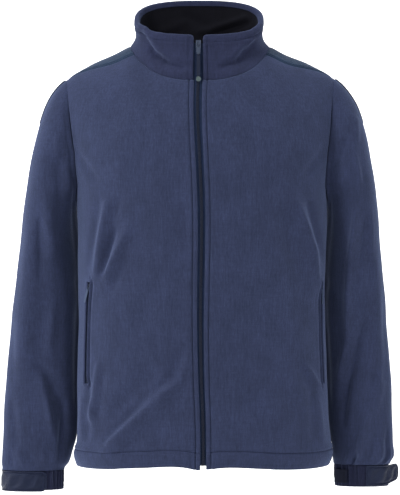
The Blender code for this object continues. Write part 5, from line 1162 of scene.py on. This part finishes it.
def make_cuff_tab(side, label):
    """The tab, stitched round its edge and in a box at its end."""
    plan, out = tab_path(side)
    length = travelled(plan)[-1]
    straight = length - TAB_ROUND
    shares = np.unique(np.concatenate([strip_places(straight, (), 0.0035), [straight],
                                       straight + TAB_ROUND * np.sin(np.radians(np.linspace(0, 89, 13)))]))
    across = np.array([0.0, 0.0004, 0.001, 0.0018, 0.0026, 0.0034, 0.0045, 0.0065, 0.009, 0.012, 0.015,
                       TAB_HEIGHT / 2])
    across = np.concatenate([across, TAB_HEIGHT - across[::-1][1:]]) / TAB_HEIGHT * 2 - 1
    past = np.clip((shares - straight) / TAB_ROUND, 0.0, 1.0)
    if side < 0:
        height, middle = TAB_HEIGHT, SLEEVE_END_Z[side] - 0.0010 - TAB_HEIGHT / 2
    else:  # the free tab narrows and lifts towards its end
        height = TAB_HEIGHT * (1.0 - 0.16 * smoothstep(0.02, length, shares))
        middle = SLEEVE_END_Z[side] - 0.0185 + 0.0035 * smoothstep(0.4 * length, length, shares)
    half = height / 2 - TAB_ROUND * (1 - np.sqrt(np.maximum(1 - past**2, 0.0)))
    line = resample(np.column_stack([plan, out]), shares / length, (1, 1, 0, 0))
    away = unit(np.column_stack([line[:, 2:], np.zeros(len(shares))]))
    points = np.array([np.column_stack([line[:, :2], middle + place * half]) for place in across])
    normals = np.repeat(away[None], len(across), axis=0)
    edge = np.minimum.reduce(edge_distances(points))
    slant = shares[None] / 0.0245 - 0.55 * across[:, None] + 0.10 * np.sin(5 * across)[:, None]
    waves = 0.0013 * np.sin(2 * math.pi * slant) * smoothstep(0.003, 0.009, edge)
    rise = groove(edge, *TAB_GROOVE) + waves
    made, outer = cloth("cuff_tab_" + label, points, normals, rise, TAB_THICK, (edge,))
    finish_cloth(made, "cuff_tab")
    at, onward = (len(shares) - 14, -9) if side > 0 else (8, 9)
    for line in (outer[5, 6:-7], outer[-6, 6:-7], outer[5:-5, at], outer[5:-5, at + onward]):
        add_stitches(line, cuff_middle(side), FINE_PITCH)


def cuff_middle(side):
    """The cuff's middle line, level with each point."""
    return lambda points: np.column_stack([np.tile(cuff_centre(side), (len(points), 1)), points[:, 2]])


def make_cuff_patch(side, label):
    """The patch of loops that the free tab closes on."""
    angle, z = np.meshgrid(np.radians(122 + 42 * strip_places(0.028, (), 0.002) / 0.028),
                           SLEEVE_END_Z[side] - 0.008 - strip_places(0.023, (), 0.002))
    plan, out = cuff_points(side, angle, GATHER_HEIGHT + SEAM_GAP + WOVEN)
    points, normals = np.dstack([plan, z]), np.dstack([out, np.zeros_like(z)])
    edge = np.minimum.reduce(edge_distances(points))
    made, _ = cloth("cuff_patch_" + label, points, normals, 0.0 * z, WOVEN, (edge,))
    finish_cloth(made, "loop_tape")


# ==== collar ====
def collar_angles():
    """Signed angles from the right front edge round the back to the left one."""
    halves = {}
    for side in (-1, 1):
        start, seam = neck_start(side, COLLAR_ZIP_GAP), neck_point(FRONT_SEAM_NECK, "front")
        near = start + (seam - start) * np.array([0.0, 0.004, 0.010, 0.018, 0.028, 0.04, 0.055, 0.075, 0.1])
        rest = np.linspace(start + 0.1 * (seam - start), seam, 34)[1:]
        halves[side] = np.concatenate([near, rest, np.linspace(seam, math.pi, 44)[1:]])
    return np.concatenate([-halves[-1], halves[1][::-1][1:]])


def make_collar_outer():
    """The outer collar and the fleece that rolls over its rim."""
    signed = collar_angles()
    shares = spread(np.array([0.0, 0.006, 0.015, 0.03, 0.05, 0.72, 0.77, 0.80, 0.83, 0.86, 0.90, 1.0]), 0.05)
    points, normals = collar_grid(signed, shares)
    rim, out, up = rim_frame(signed)
    height = np.linalg.norm(points[-1] - points[0], axis=-1)
    to_rim = (1.0 - shares)[:, None] * height[None] + COLLAR_ROLL
    to_neck, _, *to_ends = edge_distances(points)
    edge = np.minimum(*to_ends)
    rise = groove(to_rim, *RIM_GROOVE) + groove(edge, *COLLAR_ZIP_GROOVE) + sewn(to_neck, 0.0007, 0.0034)
    drawn = rounding(edge, FLEECE)
    outer = points + normals * (rise - drawn)[..., None]
    outer_rows, inner_rows = [outer], [points + normals * (rise * 0.7 + drawn - FLEECE)[..., None]]
    edge = np.minimum(distance_to(rim, points[:, 0]), distance_to(rim, points[:, -1]))
    drawn = rounding(edge, FLEECE)[:, None]
    centre = rim - out * COLLAR_ROLL
    for turn in np.radians(np.linspace(18, 180, 10)):
        direction = out * math.cos(turn) + up * math.sin(turn)
        outer_rows.append((centre + direction * (COLLAR_ROLL - drawn))[None])
        inner_rows.append((centre + direction * (COLLAR_ROLL - FLEECE + drawn))[None])
    for share in (0.5, 0.9, 1.0):
        down = centre - up * COLLAR_LIP * share
        tight = drawn + FLEECE * 0.45 * (share == 1.0)
        outer_rows.append((down - out * (COLLAR_ROLL - tight))[None])
        inner_rows.append((down - out * (COLLAR_ROLL - FLEECE + tight))[None])
    made = shell("collar_outer", np.concatenate(outer_rows), np.concatenate(inner_rows))
    # the outer collar takes the darker copy of the navy fleece, which is painted shade
    finish_cloth(made, "fleece", finish="collar_shaded_fleece")
    add_stitches(crossing(outer, to_rim, RIM_GROOVE[0], True, True)[8:-8], collar_middle)


def make_collar_inner():
    """The facing inside the collar, from below the roll to below the neckline, near black as painted shade.
    """
    signed = collar_angles()[4:-4]
    shares = np.linspace(-0.05, 1.0, 26)
    points, normals = collar_grid(signed, shares)
    rim, out, up = rim_frame(signed)
    lip_inner = 2 * COLLAR_ROLL - FLEECE
    inward = FACING_IN + (lip_inner - FACING_IN) * smoothstep(0.0, 1.0, shares)
    outer = points - normals * inward[:, None, None]
    blend = smoothstep(0.75, 1.0, shares)[:, None, None]
    top = rim - out * lip_inner - up * (COLLAR_LIP + 2 * SEAM_GAP)
    outer = outer + (top - outer[-1]) * blend
    normals = unit(normals + (out - normals) * blend)
    fold = smoothstep(-0.02, 0.02, outer[..., 1]) * fold_height(outer[..., 0], outer[..., 2], FACING_FOLDS)
    made = shell("collar_inner", outer, outer - normals * (FLEECE + fold)[..., None])
    finish_cloth(made, "fleece_inside")


# ==== zips ====
def centre_front_path():
    """The zip's line on the outer surface: points, outward directions and sideways directions."""
    top = ARCH_RUN * (1 - NECK_FRONT_DROP / (math.pi / 2)) - 0.004
    levels = np.linspace(ZIP_BOTTOM_Z - CHEST_Z, top, 220)
    rise = np.sin(np.maximum(levels, 0.0) / ARCH_RUN * math.pi / 2)
    z = CHEST_Z + np.minimum(levels, 0.0) + rise * (ridge_z(1, 0.0) - CHEST_Z)
    points, normals = body_grid("front", stacked(p_to_girth(zip_x(z) / 0.22), levels))
    collar, collar_normals = (grid[:, 0] for grid in collar_grid(np.array([neck_start(1, COLLAR_ZIP_GAP)]),
                                                                 np.linspace(0.0, 0.93, 30)))
    collar[:, 0] = zip_x(collar[:, 2])
    path = np.vstack([points, collar])
    out = np.vstack([normals, collar_normals])
    out[:, 0] = 0.0
    kernel = np.exp(-np.linspace(-2, 2, 11) ** 2)
    padded = np.pad(out, ((5, 5), (0, 0)), "edge")
    out = unit(stacked(*(np.convolve(column, kernel, "valid") for column in padded.T)))
    across = unit(np.cross(unit(np.gradient(path, axis=0)), out))
    return path, out, across * np.sign(across[:, :1])


def tooth_row(name, path, out, across, pitch, width, height, deep, shift):
    """The rounded teeth of a coil as one piece, one every pitch along a path."""
    marks = travelled(path)
    at = np.arange(pitch * (0.5 + shift), marks[-1], pitch)
    place, away, side = (at_marks(at, marks, rows) for rows in (path, out, across))
    away, side = unit(away), unit(side)
    onward = unit(np.cross(away, side))
    turn = np.linspace(0, 2 * math.pi, 6, endpoint=False)
    parts = []
    for here, far, up, ahead in zip(place, side, away, onward):
        section = np.outer(np.cos(turn) * deep, ahead) + np.outer(np.sin(turn) * height, up)
        rings = [here + far * width * share + section * size
                 for share, size in ((0.0, 0.55), (0.12, 1.0), (0.88, 1.0), (1.0, 0.55))]
        faces = [[6 * ring + corner, 6 * ring + (corner + 1) % 6, 6 * ring + (corner + 1) % 6 + 6,
                  6 * ring + corner + 6] for ring in range(3) for corner in range(6)]
        parts.append((np.concatenate(rings), faces + [[5, 4, 3, 2, 1, 0], list(range(18, 24))]))
    trim(add_mesh(name, *joined(parts)), "coil")


def joined(parts):
    """Points and faces of several parts as one."""
    vertices, faces = [], []
    for part_vertices, part_faces in parts:
        faces += [[corner + len(vertices) for corner in face] for face in part_faces]
        vertices += list(part_vertices)
    return vertices, faces


def make_zip_tape(side, label, path, out, across):
    """One tape of the main zip, and its coil."""
    width = np.concatenate([[0.0002, 0.0012, 0.0022], np.linspace(0.0032, ZIP_TAPE_WIDTH, 7)])[None, :, None]
    behind = FLEECE + TAPE_BEHIND
    ribs = 0.00012 * np.cos(width * 2 * math.pi / 0.0022)
    points = path[:, None] + side * across[:, None] * width - out[:, None] * (behind - ribs)
    made = shell("zip_tape_" + label, points, points - out[:, None] * TAPE)
    finish_cloth(made, "zip_tape")
    coil = path - out * (behind - 0.0006) - side * across * 0.0004
    tooth_row("coil_" + label, coil, out, side * across, TOOTH_PITCH, 0.0030, 0.0011, 0.00050, 0.25 * side)


def make_pocket_zip(side, label):
    """The pocket's closed zip behind its slit, with its meshed coil."""
    z = np.linspace(POCKET_BOTTOM_Z - 0.006, POCKET_TOP_Z + 0.006, 110)
    start = np.array([float(front_edge_girth(side, np.array(level))) for level in z - CHEST_Z])
    girth = start + (1 - start) * smooth_table(z, POCKET_LINE[side])
    offsets = np.array([-0.0100, -0.0070, -0.0045, -0.0022, 0.0, 0.0022, 0.0045, 0.0070, 0.0100]) / FRONT_RUN
    places = stacked(girth[:, None] + offsets, (z - CHEST_Z)[:, None])
    points, normals = body_grid("front", places, side)
    tape = points - normals * (FLEECE + POCKET_TAPE_BEHIND)
    made = shell("pocket_zip_" + label, tape, tape - normals * TAPE)
    finish_cloth(made, "zip_tape")
    out, across = normals[4:-4, 4], unit(points[4:-4, 5] - points[4:-4, 3])
    tooth_row("coil_pocket_" + label, tape[4:-4, 4] - across * 0.0017 + out * 0.0006, out, across,
              TOOTH_PITCH * 0.7, 0.0034, 0.0010, 0.00038, 0.0)


# ==== stitching ====
STITCH_LINES = []


def crossing(points, distance, at, turned=False, reverse=False):
    """Where each row of a grid, or each column if turned, comes to the given distance from its start."""
    if turned:
        points, distance = points.swapaxes(0, 1), distance.swapaxes(0, 1)
    if reverse:
        points, distance = points[:, ::-1], distance[:, ::-1]
    found = []
    for row, far in zip(points, distance):
        order = np.maximum.accumulate(far[:24])
        share = np.interp(at, order, np.arange(len(order)))
        whole = min(int(share), len(order) - 2)
        found.append(row[whole] + (row[whole + 1] - row[whole]) * (share - whole))
    return np.array(found)


def add_stitches(line, middle, pitch=PITCH):
    """Keep a stitch line with directions out of the cloth."""
    along = unit(np.gradient(line, axis=0))
    out = line - middle(line)
    STITCH_LINES.append((line, unit(out - along * np.sum(out * along, axis=-1, keepdims=True)), pitch))


def stitch(start, end, out):
    """One stitch: a short thread that dips into the cloth at both ends."""
    along = end - start
    side = np.cross(unit(along), out)
    turn = np.linspace(0, 2 * math.pi, 5, endpoint=False)
    vertices = [start - out * THREAD * 1.2]
    for share, size, lift in ((0.10, 0.8, 0.0), (0.35, 1.0, 0.55), (0.65, 1.0, 0.55), (0.90, 0.8, 0.0)):
        centre = start + along * share + out * THREAD * lift
        vertices += [centre + (side * math.cos(a) + out * math.sin(a)) * THREAD * size for a in turn]
    vertices.append(end - out * THREAD * 1.2)
    faces = [[0, 1 + (i + 1) % 5, 1 + i] for i in range(5)]
    for ring in range(3):
        faces += [[1 + ring * 5 + i, 1 + ring * 5 + (i + 1) % 5, 6 + ring * 5 + (i + 1) % 5, 6 + ring * 5 + i]
                  for i in range(5)]
    faces += [[21, 16 + i, 16 + (i + 1) % 5] for i in range(5)]
    return vertices, faces


def make_stitching():
    """All the topstitching, as one piece of thread."""
    parts = []
    for line, out, pitch in STITCH_LINES:
        marks = travelled(line)
        at = np.arange(0.0, marks[-1] - pitch, pitch)
        starts, ends = at_marks(at, marks, line), at_marks(at + pitch * 0.80, marks, line)
        parts += [stitch(*row) for row in zip(starts, ends, unit(at_marks(at, marks, out)))]
    trim(add_mesh("stitching", *joined(parts)), "thread")


# ==== finishes ====
MATERIALS = {}
PILE_SHEEN = (0.45, 0.58, 1.0, 1.0)
WEAVE_SHEEN = (0.45, 0.62, 1.0, 1.0)
WEAVE_SHINE = (0.48, 0.60, 1.0, 1.0)


class Finish:
    """A new material with the given settings, and short ways to add to its nodes."""

    def __init__(self, name, settings):
        self.made = bpy.data.materials.new(name)
        self.made.use_nodes = True
        self.tree = self.made.node_tree
        self.shader = self.tree.nodes["Principled BSDF"]
        for socket, value in settings.items():
            self.shader.inputs[socket].default_value = value

    def link(self, output, node, socket):
        self.tree.links.new(output, node.inputs[socket])

    def add(self, kind, **values):
        """A node, its sockets or properties set by name."""
        node = self.tree.nodes.new(kind)
        for key, value in values.items():
            if key in node.inputs:
                node.inputs[key].default_value = value
            else:
                setattr(node, key, value)
        return node

    def mapped(self, scale=(1.0, 1.0, 1.0)):
        """Object coordinates at the given scale on each axis."""
        mapping = self.add("ShaderNodeMapping", Scale=scale)
        self.link(self.add("ShaderNodeTexCoord").outputs["Object"], mapping, "Vector")
        return mapping.outputs["Vector"]

    def noise(self, scale, stretch=(1.0, 1.0, 1.0), detail=2.0):
        node = self.add("ShaderNodeTexNoise", Scale=scale, Detail=detail, Roughness=0.55)
        self.link(self.mapped(stretch), node, "Vector")
        return node.outputs["Fac"]

    def blended(self, factor, dark, light, low=0.35, high=0.65):
        """A colour between two, by a factor."""
        node = self.add("ShaderNodeValToRGB")
        for element, place, colour in zip(node.color_ramp.elements, (low, high), (dark, light)):
            element.position, element.color = place, (*colour, 1.0)
        self.link(factor, node, "Fac")
        return node.outputs["Color"]

    def multiplied(self, first, second):
        node = self.add("ShaderNodeMix", data_type="RGBA", blend_type="MULTIPLY")
        node.inputs["Factor"].default_value = 1.0
        self.link(first, node, 6)
        self.link(second, node, 7)
        return node.outputs[2]

    def finished(self, colour, heights):
        """The material in this colour, raised by height maps, each with its depth in metres and strength."""
        self.link(colour, self.shader, "Base Color")
        last = None
        for height, depth_m, strength in heights:
            bump = self.add("ShaderNodeBump", Strength=strength, Distance=depth_m)
            self.link(height, bump, "Height")
            if last is not None:
                self.link(last, bump, "Normal")
            last = bump.outputs["Normal"]
        self.link(last, self.shader, "Normal")
        return self.made


def fleece_material(name, colour, sheen):
    """Brushed knit: vertical ribs and wisps, soft mottling, a short pile and a bluish sheen."""
    new = Finish(name, {"Roughness": 0.95, "Specular IOR Level": 0.10, "Sheen Weight": sheen,
                        "Sheen Roughness": 0.50, "Sheen Tint": PILE_SHEEN})
    colour = np.array(colour)
    tone = new.blended(new.noise(34.0, (1.0, 1.0, 0.6), 4.0), colour * 0.91, colour * 1.09)
    ribs = new.noise(330.0, (1.0, 1.0, 0.10), 3.0)
    wisps = new.noise(620.0, (1.0, 1.0, 0.20), 3.0)
    courses = new.noise(420.0, (0.14, 0.14, 1.0))
    pile = new.noise(1500.0, (1.0, 1.0, 0.7))
    layers = (ribs, 0.86, 1.13), (wisps, 0.84, 1.15), (courses, 0.92, 1.08), (pile, 0.82, 1.16)
    for factor, dark, light in layers:
        tone = new.multiplied(tone, new.blended(factor, (dark,) * 3, (light,) * 3, 0.3, 0.7))
    return new.finished(tone, [(ribs, 0.0005, 0.4), (wisps, 0.0006, 0.5), (pile, 0.0005, 0.5)])


def woven_material(name, dark, light, thread, shine, sheen=0.15, specular=0.12):
    """A fine diagonal twill."""
    new = Finish(name, {"Roughness": shine, "Specular IOR Level": specular, "Specular Tint": WEAVE_SHINE,
                        "Sheen Weight": sheen, "Sheen Roughness": 0.4, "Sheen Tint": WEAVE_SHEEN})
    rows = new.add("ShaderNodeTexWave", wave_type="BANDS", bands_direction="DIAGONAL", Scale=thread,
                   Distortion=0.6, Detail=1.0)
    new.link(new.mapped((1.0, 0.6, 1.0)), rows, "Vector")
    cross = new.add("ShaderNodeTexWave", wave_type="BANDS", bands_direction="X", Scale=thread * 1.9,
                    Distortion=0.4)
    new.link(new.mapped(), cross, "Vector")
    colour = new.blended(rows.outputs["Fac"], dark, light, 0.2, 0.8)
    shade = new.blended(new.noise(70.0, detail=3.0), (0.88,) * 3, (1.10,) * 3)
    return new.finished(new.multiplied(colour, shade),
                        [(rows.outputs["Fac"], 0.0003, 0.5), (cross.outputs["Fac"], 0.0002, 0.4)])


def hard_material(name, colour, roughness, metallic=0.0, coat=0.0, specular=0.5):
    """Moulded or lacquered finish with a slight wear mottle."""
    new = Finish(name, {"Roughness": roughness, "Metallic": metallic, "Coat Weight": coat,
                        "Specular IOR Level": specular})
    colour = np.array(colour)
    tone = new.blended(new.noise(420.0, detail=4.0), colour * 0.85, colour * 1.15)
    return new.finished(tone, [(new.noise(900.0, detail=3.0), 0.0001, 0.3)])


def make_materials():
    """One material for each finish of the pieces, and for the collar, the coils and the thread."""
    MATERIALS.update({
        "fleece": fleece_material("navy_fleece", (0.0176, 0.0230, 0.0510), 0.20),
        # painted shade: the navy fleece at about three quarters of its brightness, for the outer collar
        "collar_shaded_fleece": fleece_material("collar_shaded_fleece", (0.0132, 0.0162, 0.0385), 0.16),
        # painted shade: the collar's facing gets a near-black copy of the fleece for the shade inside the
        # collar
        "fleece_inside": fleece_material("facing_painted_shade_fleece", (0.0018, 0.0018, 0.0036), 0.02),
        "cuff_fleece": fleece_material("cuff_fleece", (0.0085, 0.0100, 0.0250), 0.16),
        "woven_panel": woven_material("twill_panel", (0.0105, 0.020, 0.039), (0.0195, 0.034, 0.062),
                                      520.0, 0.60),
        "cuff_tab": woven_material("tab_weave", (0.0032, 0.0042, 0.0115), (0.0068, 0.0086, 0.0210),
                                   760.0, 0.30, 0.03, 0.26),
        "loop_tape": fleece_material("loop_tape", (0.006, 0.007, 0.014), 0.08),
        "zip_tape": woven_material("zip_tape_weave", (0.008, 0.013, 0.032), (0.016, 0.025, 0.054),
                                   900.0, 0.60, 0.03, 0.06),
        "coil": hard_material("coil", (0.007, 0.011, 0.026), 0.50, specular=0.2),
        "thread": hard_material("thread", (0.013, 0.017, 0.040), 0.85, specular=0.08),
        "zip_metal": hard_material("lacquered_metal", (0.034, 0.044, 0.070), 0.40, 0.85),
        "pull_cord": hard_material("pull_lacquer", (0.050, 0.072, 0.130), 0.36, 0.5, 0.3),
        "moulded": hard_material("moulded_navy", (0.006, 0.009, 0.021), 0.45, specular=0.12),
        "puller_tip": hard_material("moulded_tip", (0.042, 0.060, 0.064), 0.62, specular=0.2)})


def paint(made, finish):
    made.data.materials.clear()
    made.data.materials.append(MATERIALS[finish])


def trim(made, finish):
    """Sewing and zip teeth, which ride on the jacket."""
    paint(made, finish)
    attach(made, JACKET)


def finish_cloth(made, record_slot, finish=None):
    """Material, body and replaced node of a cloth piece."""
    paint(made, finish or record_slot)
    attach(made, JACKET)
    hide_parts(made.name.removeprefix("cloth_"))


def dress_hardware():
    """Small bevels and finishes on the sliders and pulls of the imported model."""
    finishes = {"zip_puller": "moulded", "zip_puller_tip": "puller_tip", "pocket_pull_right": "pull_cord",
                "pocket_pull_left": "pull_cord"}
    for name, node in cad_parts.items():
        if not node.hide_render:
            paint(node, finishes.get(name, "zip_metal"))
            bevel = node.modifiers.new("rounded", "BEVEL")
            bevel.width, bevel.segments = 0.00035, 2
            bevel.limit_method, bevel.angle_limit = "ANGLE", math.radians(35)


# ==== studio ====
FLOOR_Z = -1.10
FLOOR_FRONT, FLOOR_BACK, FLOOR_HALF_WIDTH = -9.0, 8.0, 8.0
WALL_TURN, WALL_TOP = 1.5, 7.0  # radius of the turn from floor to wall, and the wall's top
PIXEL, ROWS, CAMERA_AWAY = 0.0017, 495, 4.0
LIGHTS = (  # name, place, target, size, power
    ("key", (-2.8, -2.4, 2.2), (0.0, 0.0, -0.15), (1.0, 1.3), 190.0),
    ("fill", (3.0, -2.2, 1.2), (0.0, 0.0, -0.2), (1.4, 2.0), 60.0),
    ("front", (0.2, -4.6, 0.9), (0.0, 0.0, -0.2), (1.6, 1.6), 30.0),
    ("side_left", (-3.0, 0.1, 0.5), (0.0, 0.0, -0.35), (1.0, 2.0), 55.0),
    ("side_right", (3.0, 0.1, 0.4), (0.0, 0.0, -0.35), (1.0, 2.0), 16.0),
    ("top", (0.0, -0.7, 2.6), (0.0, 0.0, -0.2), (1.8, 1.2), 40.0))


def white_floor():
    """White floor that turns up into a wall far behind, and glows more the farther back it is."""
    turn = np.linspace(0.0, math.pi / 2, 10)
    profile = [(FLOOR_FRONT, FLOOR_Z), *zip(FLOOR_BACK + WALL_TURN * np.sin(turn),
                                            FLOOR_Z + WALL_TURN * (1 - np.cos(turn))),
               (FLOOR_BACK + WALL_TURN, WALL_TOP)]
    mesh = bpy.data.meshes.new("studio_floor")
    vertices = [(x, float(y), float(z)) for y, z in profile for x in (-FLOOR_HALF_WIDTH, FLOOR_HALF_WIDTH)]
    faces = [[2 * i, 2 * i + 1, 2 * i + 3, 2 * i + 2] for i in range(len(profile) - 1)]
    mesh.from_pydata(vertices, [], faces)
    mesh.shade_smooth()
    white = Finish("studio_white", {"Base Color": (0.92, 0.92, 0.92, 1.0), "Roughness": 0.9,
                                    "Emission Color": (1.0, 1.0, 1.0, 1.0)})
    split = white.add("ShaderNodeSeparateXYZ")
    white.link(white.mapped(), split, "Vector")
    glow = white.add("ShaderNodeMapRange")
    for key, value in (("From Min", 0.8), ("From Max", 3.0), ("To Min", 0.55), ("To Max", 1.0)):
        glow.inputs[key].default_value = value
    white.link(split.outputs["Y"], glow, "Value")
    white.link(glow.outputs["Result"], white.shader, "Emission Strength")
    mesh.materials.append(white.made)
    placed("studio_floor", mesh)


def studio():
    """White floor, soft lights and the camera."""
    white_floor()
    scene = bpy.context.scene
    scene.world = bpy.data.worlds.new("studio_world")
    scene.world.use_nodes = True
    sky = scene.world.node_tree.nodes["Background"].inputs
    sky["Color"].default_value, sky["Strength"].default_value = (0.95, 0.97, 1.0, 1.0), 0.16
    for name, place, target, size, power in LIGHTS:
        data = bpy.data.lights.new(name, "AREA")
        data.shape, data.energy = "RECTANGLE", power
        data.size, data.size_y = size
        turned = (Vector(target) - Vector(place)).to_track_quat("-Z", "Y")
        placed(name, data, place).rotation_euler = turned.to_euler()
    data = bpy.data.cameras.new("camera")
    data.sensor_width, data.sensor_fit, data.clip_end = 36.0, "AUTO", 50.0
    data.lens = data.sensor_width * CAMERA_AWAY / (ROWS * PIXEL)
    scene.camera = placed("camera", data, (0.0, -CAMERA_AWAY, -0.344))
    scene.camera.rotation_euler = (math.pi / 2, 0.0, 0.0)
    scene.view_settings.view_transform, scene.view_settings.look = "Standard", "None"


def main():
    make_materials()
    zip_path = centre_front_path()
    for side, label in ((-1, "right"), (1, "left")):
        for make in (make_front, make_shoulder_panel, make_sleeve, make_sleeve_panel, make_cuff,
                     make_cuff_tab):
            make(side, label)
        make_zip_tape(side, label, *zip_path)
        make_pocket_zip(side, label)
    make_back()
    make_collar_outer()
    make_collar_inner()
    make_cuff_patch(1, "left")
    make_stitching()
    dress_hardware()
    studio()


main()
